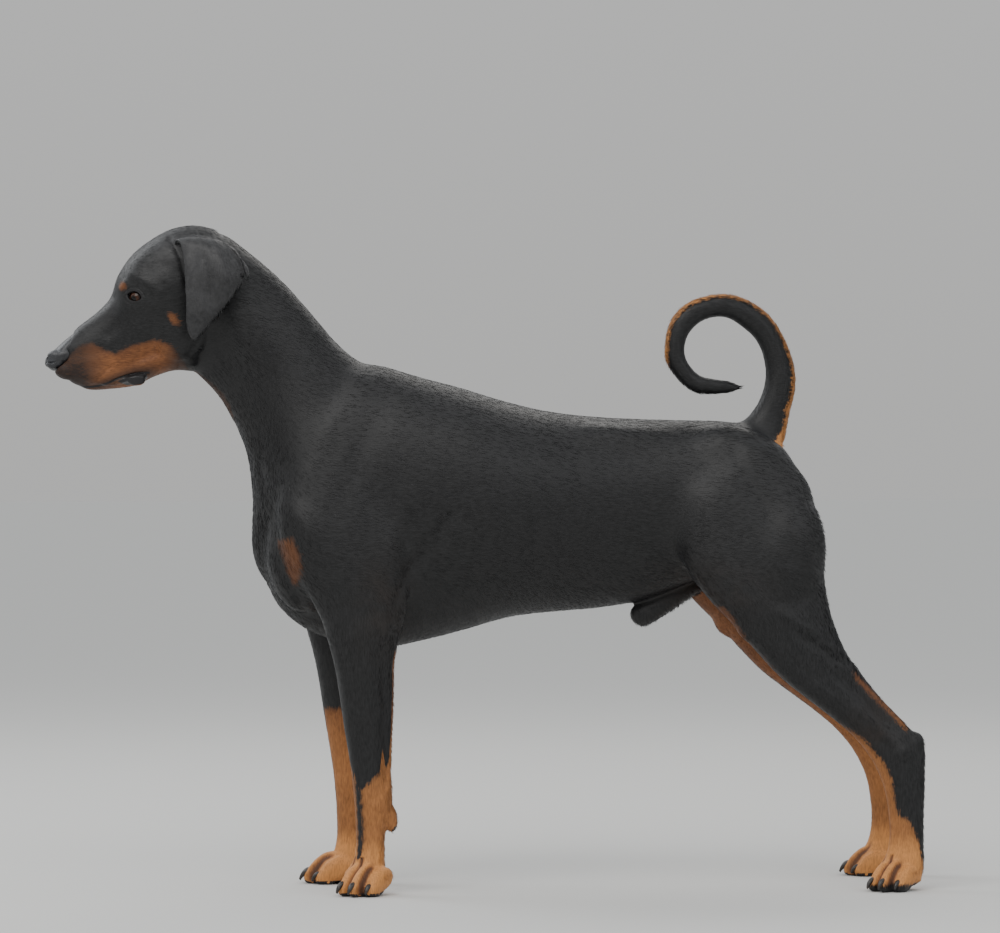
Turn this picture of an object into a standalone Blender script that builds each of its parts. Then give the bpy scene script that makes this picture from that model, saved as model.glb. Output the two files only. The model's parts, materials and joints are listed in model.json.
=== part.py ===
# Life-size standing Doberman pinscher, a still model in a show stance with natural ears and tail.
# The dog faces -X with its left side towards -Y, and stands on the floor at z = 0.
# Every table is in millimetres on a dog 695 mm high at the withers, and MM scales it to metres.

import math

import bmesh
import bpy
import numpy as np
from mathutils import Matrix
from mathutils import Vector
from mathutils.bvhtree import BVHTree

WITHERS = 0.695
MM = WITHERS / 695.0
GAP = 0.3
LEFT = -1
RIGHT = 1
SIDES = ((LEFT, "left"), (RIGHT, "right"))

# Materials: colour, roughness
COATS = {
    "black_coat": ((0.022, 0.022, 0.025), 0.55),
    "rust_coat": ((0.36, 0.13, 0.045), 0.6),
    "nose_leather": ((0.02, 0.02, 0.022), 0.35),
    "eye": ((0.07, 0.025, 0.01), 0.08),
}

# The right legs stand a little out of step with the left ones, as in a natural stance.
FORE_STEP = {LEFT: 0.0, RIGHT: -10.0}
HIND_STEP = {LEFT: 0.0, RIGHT: 17.0}
FORE_TOE_OUT = {LEFT: 42.0, RIGHT: 8.0}
FORE_PAW_AHEAD = {LEFT: 5.0, RIGHT: -7.0}
HIND_TOE_OUT = {LEFT: 38.0, RIGHT: 14.0}

# A row of a loft: top x, top z, low x, low z, middle y, half width, egg.
# Egg above 0 makes the top end of the ring wider than the low end.
TORSO = [
    (-289, 528, -292, 436, 0, 35, 0.0),
    (-287, 566, -289, 398, 0, 62, 0.0),
    (-264, 606, -266, 362, 0, 82, 0.05),
    (-225, 650, -228, 336, 0, 94, 0.08),
    (-185, 686, -182, 322, 0, 101, 0.08),
    (-145, 691, -135, 317, 0, 107, 0.08),
    (-90, 675, -80, 327, 0, 113, 0.08),
    (-35, 661, -25, 341, 0, 116, 0.08),
    (20, 644, 30, 356, 0, 112, 0.08),
    (80.5, 630, 85.5, 362.6, 0, 101, 0.1),
    (141, 623, 146, 367.3, 0, 88, 0.1),
    (201.7, 620, 206.7, 377.1, 0, 84, 0.1),
    (262.4, 618, 264.5, 396.9, 0, 86, 0.1),
    (323.4, 616, 323.4, 418.8, 0, 80, 0.1),
    (368, 600, 366.1, 438.8, 0, 70, 0.1),
    (396, 569, 393, 460.8, 0, 55, 0.1),
    (410, 535.3, 408, 484.9, 0, 36, 0.0),
]
NECK = [
    (-392, 868, -404, 690, 0, 50, 0.2),
    (-350, 862, -382, 676, 0, 51, 0.22),
    (-309, 834, -352, 644, 0, 53, 0.2),
    (-270, 801, -331, 604, 0, 56, 0.14),
    (-234, 762, -317, 568, 0, 63, 0.04),
    (-197, 719, -311, 528, 0, 74, -0.08),
    (-166, 694, -306, 488, 0, 86, -0.15),
    (-140, 684, -285, 450, 0, 90, -0.1),
]
SKULL = [
    (-562, 712, -556, 675, 0, 18, 0.1),
    (-554, 723, -545, 664, 0, 25, 0.05),
    (-538, 740, -522, 657, 0, 29, 0.0),
    (-516, 757, -496, 659, 0, 32, 0.0),
    (-497, 777, -470, 668, 0, 37, 0.0),
    (-487, 806, -446, 682, 0, 46, 0.05),
    (-468, 834, -425, 690, 0, 54, 0.1),
    (-443, 854, -405, 692, 0, 58, 0.1),
    (-418, 867.5, -388, 690, 0, 58, 0.1),
    (-390, 873, -372, 690, 0, 54, 0.1),
    (-362, 869, -358, 700, 0, 46, 0.1),
]
JAW = [
    (-545, 676, -541, 663, 0, 12, 0.2),
    (-532, 682, -524, 655.5, 0, 18, 0.2),
    (-508, 690, -496, 656.5, 0, 24, 0.2),
    (-480, 698, -464, 661, 0, 30, 0.2),
    (-452, 705, -438, 673, 0, 37, 0.2),
    (-425, 715, -412, 681, 0, 42, 0.2),
    (-400, 730, -388, 680, 0, 43, 0.2),
]
SHOULDER = [
    (-198, 668, -138, 672, 40, 16, 0.0),
    (-226, 625, -118, 634, 58, 24, 0.0),
    (-264, 565, -104, 575, 70, 29, 0.0),
    (-285, 508, -100, 505, 80, 31, 0.0),
    (-281, 458, -104, 445, 87, 32, 0.0),
    (-258, 412, -110, 398, 90, 31, 0.0),
    (-238, 376, -116, 365, 90, 29, 0.0),
    (-222, 345, -122, 340, 89, 27, 0.0),
]
FOREARM = [
    (-236, 384, -122, 376, 89, 29, 0.0),
    (-223, 342, -121, 349, 89, 31, 0.1),
    (-212, 303, -130, 308, 88, 29, 0.15),
    (-205, 266, -131, 269, 86, 26, 0.2),
    (-199, 226, -132, 229, 84, 22.5, 0.25),
    (-193, 190, -133, 193, 82, 20, 0.25),
    (-188, 158, -134, 160, 81, 19.5, 0.2),
    (-185, 132, -133, 136, 80, 21, 0.15),
    (-183, 108, -133, 110, 80, 20.5, 0.1),
    (-182, 86, -141, 84, 80, 19, 0.0),
    (-182, 62, -143, 58, 80, 19.5, 0.0),
    (-186, 42, -143, 34, 80, 22, 0.0),
    (-196, 28, -146, 16, 80, 25, 0.0),
]
THIGH = [
    (306.2, 592.1, 404.3, 559.8, 52, 38, 0.0),
    (258, 531, 428.8, 504.3, 66, 40, 0.0),
    (238, 471, 435, 444.8, 77, 41, 0.0),
    (248, 425, 441.1, 390.3, 86, 38, 0.05),
    (279.7, 382.9, 450.4, 345.8, 93, 35, 0.15),
    (311, 350, 467.8, 307.4, 95, 30, 0.25),
    (345, 311.5, 491.4, 273.9, 96, 26.5, 0.35),
    (375.6, 278.7, 517.1, 244.5, 97, 24, 0.4),
    (411.4, 250.3, 540.8, 220.1, 98, 21, 0.4),
    (447.3, 222.8, 560.3, 201.7, 98, 19, 0.3),
    (475, 198.3, 569.6, 185.5, 98, 19, 0.15),
    (497.6, 168.9, 569.6, 157.1, 99, 19, 0.1),
    (512, 136.4, 568.6, 125.8, 100, 18, 0.0),
    (518.1, 105.1, 567.5, 94.5, 101, 17.5, 0.0),
    (520.2, 74.7, 566.5, 64.2, 102, 18, 0.0),
    (516.1, 48.5, 566.5, 35.8, 103, 20, 0.0),
    (504.8, 28.4, 562.4, 11.6, 103, 23, 0.0),
]
# The tail is drawn from its outer edge to its inner edge.
TAIL = [
    (392.6, 559.6, 325.4, 599.9, 0, 30, 0.0),
    (401.8, 589.8, 343.7, 619, 0, 24, 0.0),
    (405.9, 617, 358, 633.1, 0, 21, 0.0),
    (411, 644.2, 368.2, 651.2, 0, 19.5, 0.0),
    (414, 668.4, 373.2, 672.4, 0, 18.5, 0.0),
    (411, 691.5, 372.2, 691.5, 0, 17.5, 0.0),
    (400.8, 720.8, 367.1, 709.6, -1, 16.5, 0.0),
    (380.4, 754, 354.9, 728.7, -2, 15.5, 0.0),
    (348.8, 776, 328.5, 748.8, -3, 15, 0.0),
    (317.3, 784, 309.1, 752.8, -4, 14.5, 0.0),
    (280.7, 777.8, 290.9, 748.7, -5, 14, 0.0),
    (256.4, 762.7, 275.6, 737.6, -6, 13.5, 0.0),
    (242.2, 740.5, 266.5, 722.5, -7, 13, 0.0),
    (237.1, 704.4, 264.5, 705.4, -8, 12.5, 0.0),
    (245.2, 682.3, 270.6, 690.4, -9, 12, 0.0),
    (259.4, 664.2, 283.8, 677.3, -9, 11.5, 0.0),
    (275.6, 653.2, 302, 672.3, -10, 11, 0.0),
    (295.9, 650.2, 319.3, 670.3, -10, 10, 0.0),
    (317.3, 651.2, 330.5, 666.3, -10, 7.5, 0.0),
    (333.5, 655.2, 338.6, 662.3, -10, 3.5, 0.0),
]
# A row of the ear: front edge x, y, z, back edge x, y, z, half thickness, outward bow.
EAR = [
    (-415, 36, 843, -354, 38, 842, 6, 1),
    (-414, 48, 850, -343, 54, 844, 5.6, 2),
    (-410, 58, 849, -331, 67, 830, 4.8, 4),
    (-406, 65, 837, -325, 74, 813, 3.8, 6),
    (-404, 70, 818, -328, 77, 797, 3.0, 7),
    (-403, 73, 796, -338, 78, 783, 2.6, 7),
    (-402, 74, 772, -350, 78, 766, 2.3, 6),
    (-402, 74, 750, -365, 77, 748, 2.1, 5),
    (-400, 73, 733, -380, 75, 731, 1.9, 3),
    (-395, 72, 723, -388, 73, 722, 1.6, 1),
]
TOE = [
    (-4, 50, -2, 16, 0, 11, 0.0),
    (-18, 52, -13, 10, 0, 11.5, 0.05),
    (-33, 49, -28, 5, 0, 12, 0.1),
    (-45, 41, -42, -1, 0, 11.2, 0.0),
    (-54, 32, -54, -2, 0, 10.5, -0.1),
    (-60, 24, -60, 1, 0, 8.5, -0.1),
]
CLAW = [
    (-54, 25, -56, 14, 0, 4.4, 0.0),
    (-64, 23.5, -63, 13, 0, 4.2, 0.0),
    (-71, 17, -69, 9, 0, 3.3, 0.0),
    (-74.5, 8, -71.5, 5, 0, 1.6, 0.0),
]
# For each toe: side of the paw's middle, how far it is set back, its splay, and its size.
TOES = [(-20, 11, -9, 0.88), (-8.5, 0, -3, 1.0), (8.5, 0, 3, 1.0), (20, 11, 9, 0.88)]
FORE_PAW = (-163, 81)
FORE_PAW_SIZE = 0.82
HIND_PAW = (536, 103)
HIND_PAW_SIZE = 0.78

SHEATH = [
    (303.1, 408, 309.1, 398, 0, 10, 0.0),
    (268.5, 401, 274.6, 381, 0, 13, 0.0),
    (236.1, 389, 242.2, 360, 0, 15, 0.0),
    (209.8, 378, 213.8, 343.9, 0, 14, 0.0),
    (195.6, 371.1, 198.6, 346, 0, 10, 0.0),
]
NOSE_PAD = [
    (-543, 731, -549, 692, 0, 16, 0.0),
    (-555, 721.5, -560, 684, 0, 19.5, 0.0),
    (-566, 711.5, -570, 681, 0, 18.5, 0.0),
    (-576, 702, -578, 686, 0, 14, 0.0),
]
NOSTRIL = ((-579, 8.2, 697), (7, 3.6, 4.4), 0.0)
NOSTRIL_SLIT = [
    (-580, 694, -580, 690, 9, 2.0, 0.0),
    (-575, 693, -575, 690, 15, 2.2, 0.0),
    (-567, 694.5, -567, 691.5, 20, 2.5, 0.0),
    (-558, 696.5, -558, 693.5, 23, 2.5, 0.0),
]
PHILTRUM = [
    (-585, 698, -579, 698, 0, 0.9, 0.0),
    (-584, 690, -577.5, 690, 0, 0.9, 0.0),
    (-580, 681, -570, 683, 0, 0.9, 0.0),
]
# Lines of the face in side view: x, z, half height of the groove
MOUTH_LINE = [
    (-567, 675, 0.9), (-550, 665.5, 1.0), (-530, 660, 1.1), (-506, 663, 1.3),
    (-486, 671.5, 1.4), (-465, 677.5, 1.3), (-447, 678.5, 1.0),
]
FLEW_LINE = [(-493, 688, 0.7), (-506, 678, 0.9), (-517, 667, 0.7)]

EYE = (-461.0, 36.0, 776.0)
EYE_LOOK = (-0.55, 0.82, 0.12)
EYE_RADIUS = 12.0
LID = 1.7
LID_LONG = 10.6
LID_HIGH = 7.0
LID_TILT = 10.0
EAR_CUP = ((-370, 64, 806), (16, 12, 20), -8.0)

# Triangles of each fine mesh before it is divided, and the grid it is joined on in millimetres
HEAD_FACES = 2800
BODY_FACES = 4040
PAW_FACES = 620
BODY_VOXEL = 4.6
HEAD_VOXEL = 2.4
PAW_VOXEL = 1.8

# Planes between the nodes: a point and the direction of the part beyond
PAW_CUT_Z = 52
HEAD_CUT = ((-360, 0, 768), (0.977, 0, -0.212))
NECK_CUT = ((-262, 0, 620), (-0.824, 0, 0.567))
PAW_CUT = ((0, 0, PAW_CUT_Z), (0, 0, 1))
TAIL_CUT = ((377, 0, 612), (0.35, 0, 0.94))
RISE_CUT = ((389, 0, 652), (0.05, 0, 1))
ARCH_CUT = ((316, 0, 706), (0, 0, 1))
TIP_CUT = ((351, 0, 665), (-0.915, 0, 0.403))
ELBOW_CUT = ((-170, 0, 332), (-0.12, 0, -1))
STIFLE_CUT = ((390, 0, 334), (0.12, 0, -1))
HOCK_CUT = ((532, 0, 193), (0.36, 0, -0.93))
# Side-view outlines of the shoulder with its leg, and of the thigh with its leg
FORE_OUTLINE = [
    (-196, 668), (-140, 672), (-112, 610), (-98, 540), (-98, 450), (-108, 385), (-108, 300), (-60, 300),
    (-60, -20), (-330, -20), (-330, 300), (-236, 320), (-262, 385), (-290, 440), (-292, 520), (-262, 590),
]
HIND_OUTLINE = [
    (300, 596), (370, 590), (520, 560), (620, 400), (620, -20),
    (380, -20), (250, 260), (215, 395), (225, 460), (255, 530),
]


def mm(x, y, z):
    """A point in metres from one in millimetres."""
    return Vector((x, y, z)) * MM


def in_between(rows, steps):
    """The rows with more between each pair, on smooth curves through all of them."""
    table = np.array(rows, float)
    padded = np.vstack([2 * table[0] - table[1], table, 2 * table[-1] - table[-2]])
    made = []
    for a, b, c, d in zip(padded, padded[1:], padded[2:], padded[3:]):
        for t in np.arange(steps) / steps:
            bend = (c - a) * t + (2 * a - 5 * b + 4 * c - d) * t**2 + (3 * b - a - 3 * c + d) * t**3
            made.append(b + 0.5 * bend)
    return [*made, table[-1]]


def domed(rings, dome):
    """The rings with two smaller ones beyond each end, so that the ends are round."""
    for back in (False, True):
        rings = rings[::-1] if back else rings
        centre, up, across, egg, bow = rings[0]
        way = (centre - rings[1][0]).normalized()
        reach = min(across.length, up.length) * dome
        near = (centre + way * reach * 0.6, up * 0.8, across * 0.8, egg, bow * 0.8)
        far = (centre + way * reach, up * 0.4, across * 0.4, egg, bow * 0.4)
        rings = [far, near, *rings]
        rings = rings[::-1] if back else rings
    return rings


def next_loop(bm, loop):
    """Extrudes a ring of vertices, and returns the new ring in the same order."""
    ring = set(loop)
    edges = {edge for vert in loop for edge in vert.link_edges if set(edge.verts) <= ring}
    made = bmesh.ops.extrude_edge_only(bm, edges=list(edges))["geom"]
    new = {item for item in made if isinstance(item, bmesh.types.BMVert)}
    return [next(e.other_vert(vert) for e in vert.link_edges if e.other_vert(vert) in new) for vert in loop]


def tube(bm, rings, side, frame, sides, square, dome):
    """Adds a closed tube through rings in millimetres, mirrored to the left with side -1."""
    loop = bmesh.ops.create_circle(bm, segments=sides, radius=1.0)["verts"]
    circle = [vert.co.copy() for vert in loop]
    bm.faces.new(loop)
    for number, (centre, up, across, egg, bow) in enumerate(domed(rings, dome)):
        loop = next_loop(bm, loop) if number else loop
        for vert, spoke in zip(loop, circle):
            along = math.copysign(abs(spoke.y) ** square, spoke.y)
            out = math.copysign(abs(spoke.x) ** square, spoke.x)
            point = centre + up * along + across * out * (1 + egg * along)
            point += across.normalized() * bow * (1 - along**2)
            vert.co = (frame @ Vector((point.x, side * point.y, point.z))) * MM
    bm.faces.new(loop)


def loft(bm, rows, side=RIGHT, frame=None, steps=3, sides=24, square=1.0, dome=0.6):
    """Adds a tube through rows drawn in side view."""
    rings = []
    for top_x, top_z, low_x, low_z, mid_y, half, egg in in_between(rows, steps):
        top = Vector((top_x, mid_y, top_z))
        low = Vector((low_x, mid_y, low_z))
        rings.append(((top + low) / 2, (top - low) / 2, Vector((0, half, 0)), egg, 0.0))
    tube(bm, rings, side, frame or Matrix.Identity(4), sides, square, dome)


def leaf(bm, rows, side, steps, sides):
    """Adds a thin flap through rows that give its two edges in space."""
    table = in_between(rows, steps)
    middles = [Vector((row[:3] + row[3:6]) / 2) for row in table]
    rings = []
    for number, row in enumerate(table):
        chord = Vector(row[:3] - row[3:6]) / 2
        path = middles[min(number + 1, len(table) - 1)] - middles[max(number - 1, 0)]
        across = path.cross(chord).normalized()
        rings.append((middles[number], chord, across * row[6], 0.0, row[7]))
    tube(bm, rings, side, Matrix.Identity(4), sides, 1.0, 0.5)


def ball(bm, centre, radii, lean=0.0, side=RIGHT, frame=None, around=16, up=10):
    """Adds an ellipsoid; a lean above 0 tips its top towards the tail by that many degrees."""
    x, y, z = centre
    frame = frame or Matrix.Identity(4)
    place = Matrix.Translation((x, side * y, z)) @ Matrix.Rotation(math.radians(lean), 4, "Y")
    to_metres = Matrix.Diagonal((MM, MM, MM, 1.0))
    matrix = to_metres @ frame @ place @ Matrix.Diagonal((*radii, 1.0))
    bmesh.ops.create_uvsphere(bm, u_segments=around, v_segments=up, radius=1.0, matrix=matrix)


def stepped(rows, step, start, end):
    """The rows of a leg, moved along X by step up to the height start and not at all above end."""
    made = []
    for top_x, top_z, low_x, low_z, *rest in rows:
        move = step * (1 - share((top_z + low_z) / 2, start, end))
        made.append((top_x + move, top_z, low_x + move, low_z, *rest))
    return made


def paw_frame(place, step, toe_out, side, size):
    """Where a paw's own frame stands: its toes point along -X of that frame."""
    x, y = place
    turn = Matrix.Rotation(math.radians(toe_out) * -side, 4, "Z")
    return Matrix.Translation((x + step, side * y, 0)) @ turn @ Matrix.Diagonal((size, size, size, 1))


def add_paw(bm, frame):
    """Four arched toes with claws, their pads and the large middle pad."""
    for across, back, splay, size in TOES:
        toe = Matrix.Translation((back, across, 0)) @ Matrix.Rotation(math.radians(-splay), 4, "Z")
        toe = frame @ toe @ Matrix.Diagonal((size, 1.0, size, 1.0))
        loft(bm, TOE, frame=toe, sides=16, square=0.9, dome=0.75)
        loft(bm, CLAW, frame=toe, sides=10, steps=2, dome=0.3)
        ball(bm, (-46, 0, 4), (13, 9.5, 7), frame=toe)
    ball(bm, (-4, 0, 8), (18, 22, 11), frame=frame)


def add_fore_paw(bm, side):
    ahead = FORE_STEP[side] + FORE_PAW_AHEAD[side]
    frame = paw_frame(FORE_PAW, ahead, FORE_TOE_OUT[side], side, FORE_PAW_SIZE)
    add_paw(bm, frame)


def add_hind_paw(bm, side):
    frame = paw_frame(HIND_PAW, HIND_STEP[side], HIND_TOE_OUT[side], side, HIND_PAW_SIZE)
    add_paw(bm, frame)


def add_fore_leg(bm, side):
    step = FORE_STEP[side]
    loft(bm, SHOULDER, side)
    loft(bm, stepped(FOREARM, step, 340, 480), side)
    # Triceps, upper arm, point of the elbow and the outer muscle of the forearm
    ball(bm, (-150, 92, 440), (32, 27, 80), -6, side)
    ball(bm, (-232, 88, 455), (28, 30, 70), -30, side)
    ball(bm, (-137 + step * 0.8, 90, 354), (15, 15, 22), 4, side)
    ball(bm, (-186 + step, 94, 296), (22, 19, 62), -6, side)
    # Carpus, and the stopper pad behind it
    ball(bm, (-160 + step, 80, 118), (24, 22, 22), 0, side)
    ball(bm, (-136 + step, 82, 100), (10, 9, 21), -8, side)


def add_hind_leg(bm, side):
    step = HIND_STEP[side]
    loft(bm, stepped(THIGH, step, 120, 420), side)
    # Buttock, front and outer thigh, kneecap and calf
    ball(bm, (374, 60, 506), (54, 46, 60), 10, side)
    ball(bm, (294, 76, 469), (48, 36, 84), -4, side)
    ball(bm, (380, 88, 429), (58, 42, 96), 12, side)
    ball(bm, (334 + step * 0.2, 97, 348), (18, 19, 28), -32, side)
    ball(bm, (409 + step * 0.4, 102, 298), (32, 20, 62), -52, side)
    # Point of the hock and the ankle bones
    ball(bm, (552 + step * 0.8, 98, 189), (17, 13, 20), 20, side)
    ball(bm, (533 + step * 0.8, 99, 179), (22, 21, 22), 20, side)


def add_trunk(bm):
    loft(bm, TORSO, sides=32)
    loft(bm, NECK, sides=28)
    ball(bm, (-271, 0, 461), (42, 40, 66))
    for side in (LEFT, RIGHT):
        # Breast, shoulder blade and its muscles, loin and croup
        ball(bm, (-252, 44, 430), (44, 46, 66), -10, side)
        ball(bm, (-170, 34, 645), (56, 26, 36), 8, side)
        ball(bm, (150, 36, 586), (130, 34, 28), 1, side)
        ball(bm, (322, 46, 568), (66, 38, 44), 10, side)
        # Neck muscle from behind the ear to the shoulder
        ball(bm, (-300, 32, 712), (40, 30, 120), -32, side)
        ball(bm, (404, 15, 424), (22, 16, 28), -12, side)
    loft(bm, SHEATH, sides=16)


def add_head(bm):
    loft(bm, SKULL, sides=32, square=0.86)
    loft(bm, JAW, sides=24, square=0.9)
    for side in (LEFT, RIGHT):
        # Brow, cheekbone, jaw muscle, upper lip and the root of the ear
        ball(bm, (-469, 29, 794), (19, 14, 13), -30, side)
        ball(bm, (-436, 42, 768), (42, 13, 13), 12, side)
        ball(bm, (-410, 37, 740), (40, 18, 48), -8, side)
        ball(bm, (-506, 17, 679), (44, 13, 18), 4, side)
        ball(bm, (-463, 26, 668), (13, 6, 8), 0, side)
        ball(bm, (-549, 11, 682), (21, 13, 14), 0, side)
        ball(bm, (-380, 40, 840), (32, 16, 18), 6, side)


def add_tail(bm):
    loft(bm, TAIL, sides=20)


def share(value, start, end):
    """0 before start, 1 after end and even between them."""
    return min(1.0, max(0.0, (value - start) / (end - start)))


def body_softness(p):
    """The radius in millimetres over which the form is evened out."""
    trunk = 4 + 13 * share(p.z, 340, 440)
    if p.x > 225 and p.z > 620:
        trunk = 17 - 14 * share(p.z, 620, 650)
    if p.z > 620 and p.x < -200:
        trunk = 17 - 12 * share(-p.x, 250, 345)
    if abs(p.y) < 34 and p.x > 185 and p.z < 455:
        trunk = min(trunk, 5.0)
    return trunk


def head_softness(p):
    return 3.6 + 2 * share(p.x, -440, -370)


def paw_softness(p):
    return 1.3


def new_object(name, bm):
    mesh = bpy.data.meshes.new(name)
    bm.to_mesh(mesh)
    bm.free()
    made = bpy.data.objects.new(name, mesh)
    bpy.context.scene.collection.objects.link(made)
    return made


def apply_modifiers(obj):
    graph = bpy.context.evaluated_depsgraph_get()
    mesh = bpy.data.meshes.new_from_object(obj.evaluated_get(graph))
    obj.modifiers.clear()
    obj.data = mesh


def flesh(name, adders, voxel, faces, softness, rough_cuts):
    """One closed skin round the volumes: joined on a fine grid, evened out, cut to length, made coarse."""
    bm = bmesh.new()
    for adder in adders:
        adder(bm)
    bmesh.ops.recalc_face_normals(bm, faces=bm.faces)
    body = new_object(name, bm)
    grid = body.modifiers.new("join", "REMESH")
    grid.mode = "VOXEL"
    grid.voxel_size = voxel * MM
    apply_modifiers(body)
    radii = [softness(vert.co / MM) for vert in body.data.vertices]
    widest = max(radii)
    group = body.vertex_groups.new(name="soft")
    for index, radius in enumerate(radii):
        group.add([index], (radius / widest) ** 2, "REPLACE")
    soften = body.modifiers.new("soften", "SMOOTH")
    soften.factor = 0.6
    soften.iterations = math.ceil(2 * widest**2 / (soften.factor * voxel**2))
    soften.vertex_group = "soft"
    apply_modifiers(body)
    for point, normal in rough_cuts:
        below_plane(body, point, normal, -4.0)
    count = sum(len(p.vertices) - 2 for p in body.data.polygons)
    thin = body.modifiers.new("thin", "DECIMATE")
    thin.ratio = min(1.0, faces / count)
    apply_modifiers(body)
    body.vertex_groups.clear()
    return body


def copy_of(obj, name):
    made = bpy.data.objects.new(name, obj.data.copy())
    bpy.context.scene.collection.objects.link(made)
    return made


def below_plane(obj, point, normal, gap=GAP / 2):
    """Keeps what lies behind a plane, a gap back from it, and closes the cut."""
    bm = bmesh.new()
    bm.from_mesh(obj.data)
    way = Vector(normal).normalized()
    place = mm(*point) - way * gap * MM
    geometry = [*bm.verts, *bm.edges, *bm.faces]
    bmesh.ops.bisect_plane(bm, geom=geometry, plane_co=place, plane_no=way, clear_outer=True)
    bmesh.ops.holes_fill(bm, edges=[e for e in bm.edges if e.is_boundary])
    bmesh.ops.triangulate(bm, faces=[f for f in bm.faces if len(f.verts) > 4])
    bm.to_mesh(obj.data)
    bm.free()


def plane_split(obj, name, point, normal):
    """Cuts obj with a plane: it keeps what lies behind the plane, and the rest is returned."""
    rest = copy_of(obj, name)
    below_plane(rest, point, [-n for n in normal])
    below_plane(obj, point, normal)
    return rest


def boolean(obj, other, operation):
    cut = obj.modifiers.new(operation.lower(), "BOOLEAN")
    cut.operation = operation
    cut.solver = "EXACT"
    cut.object = other
    apply_modifiers(obj)


def grown(obj, name, amount):
    """A copy with every face moved outwards by the amount in millimetres."""
    bm = bmesh.new()
    bm.from_mesh(obj.data)
    bm.normal_update()
    moves = [(vert, vert.normal * min(vert.calc_shell_factor(), 2.0)) for vert in bm.verts]
    for vert, way in moves:
        vert.co += way * amount * MM
    return new_object(name, bm)


def subtract(obj, other, amount=0.0):
    """Takes the other object away, grown by the amount, and leaves the other as it was."""
    cutter = grown(other, "cutter", amount)
    boolean(obj, cutter, "DIFFERENCE")
    bpy.data.objects.remove(cutter)


def subtract_shape(obj, adder):
    """Takes away a shape that a function adds."""
    bm = bmesh.new()
    adder(bm)
    bmesh.ops.recalc_face_normals(bm, faces=bm.faces)
    cutter = new_object("cutter", bm)
    boolean(obj, cutter, "DIFFERENCE")
    bpy.data.objects.remove(cutter)


def wall_split(obj, name, outline, inner, side):
    """Cuts a leg from the trunk: an outline in the XZ plane, reaching from its inner wall outwards."""
    bm = bmesh.new()
    near = [bm.verts.new(mm(x, side * inner(z), z)) for x, z in outline]
    bm.faces.new(near)
    made = bmesh.ops.extrude_face_region(bm, geom=bm.faces[:])
    for vert in [g for g in made["geom"] if isinstance(g, bmesh.types.BMVert)]:
        vert.co.y = side * 260 * MM
    bmesh.ops.triangulate(bm, faces=bm.faces[:])
    bmesh.ops.recalc_face_normals(bm, faces=bm.faces)
    block = new_object("block", bm)
    leg = copy_of(obj, name)
    boolean(leg, block, "INTERSECT")
    subtract(obj, block, GAP)
    bpy.data.objects.remove(block)
    return leg


def largest_piece(obj):
    """Drops every closed surface of the node but the largest."""
    bm = bmesh.new()
    bm.from_mesh(obj.data)
    left = set(bm.faces)
    pieces = []
    while left:
        front = [left.pop()]
        piece = set(front)
        while front:
            near = {f for e in front.pop().edges for f in e.link_faces} - piece
            piece |= near
            front.extend(near)
        left -= piece
        pieces.append(piece)
    keep = max(pieces, key=lambda piece: sum(f.calc_area() for f in piece))
    bmesh.ops.delete(bm, geom=[f for f in bm.faces if f not in keep], context="FACES")
    bm.to_mesh(obj.data)
    bm.free()


def finish(obj, material):
    """Largest surface, smooth shading and the node's own material."""
    largest_piece(obj)
    obj.data.shade_smooth()
    obj.data.set_sharp_from_angle(angle=math.radians(50))
    colour, roughness = COATS[material]
    coat = bpy.data.materials.new(obj.name)
    coat.use_nodes = True
    shader = coat.node_tree.nodes["Principled BSDF"]
    shader.inputs["Base Color"].default_value = (*colour, 1.0)
    shader.inputs["Roughness"].default_value = roughness
    obj.data.materials.clear()
    obj.data.materials.append(coat)


def look_frame(side):
    """The frame of an eye, in millimetres: X to the eye's rear corner, Y straight out, Z up."""
    out = Vector((EYE_LOOK[0], side * EYE_LOOK[1], EYE_LOOK[2])).normalized()
    along = out.cross(Vector((0, 0, 1))).normalized() * side
    up = along.cross(out) * side
    turn = Matrix((along, out, up)).transposed().to_4x4()
    return Matrix.Translation((EYE[0], side * EYE[1], EYE[2])) @ turn


def add_lid_opening(bm, side):
    """The almond gap between the lids, as a block that reaches out from the eyeball."""
    frame = look_frame(side)
    tilt = Matrix.Rotation(math.radians(LID_TILT) * -side, 4, "Y")
    loop = bmesh.ops.create_circle(bm, segments=20, radius=1.0)["verts"]
    circle = [vert.co.copy() for vert in loop]
    bm.faces.new(loop)
    for reach in (4.0, 30.0):
        loop = loop if reach == 4.0 else next_loop(bm, loop)
        for vert, spoke in zip(loop, circle):
            high = math.copysign(LID_HIGH, spoke.y) * (1 - min(1.0, spoke.x**2)) ** 0.75
            point = tilt @ Vector((spoke.x * LID_LONG, 0, high))
            point.y = reach
            vert.co = (frame @ point) * MM
    bm.faces.new(loop)


def surface_line(obj, side, points, sink):
    """Points of a side-view line laid on the surface, as rows of a thin tube sunk into it."""
    tree = BVHTree.FromObject(obj, bpy.context.evaluated_depsgraph_get())
    rows = []
    for x, z, radius in in_between(points, 2):
        hit = tree.ray_cast(mm(x, side * 120, z), Vector((0, -side, 0)))[0]
        if hit:
            rows.append((x, z + radius, x, z - radius, abs(hit.y) / MM - sink, radius * 1.5, 0.0))
    return rows


def carve_line(obj, points, sink=0.6):
    """A groove along a line drawn in side view, on both sides."""
    for side in (LEFT, RIGHT):
        rows = surface_line(obj, side, points, sink)
        subtract_shape(obj, lambda bm: loft(bm, rows, side, steps=1, sides=6, dome=0.5))


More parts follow.
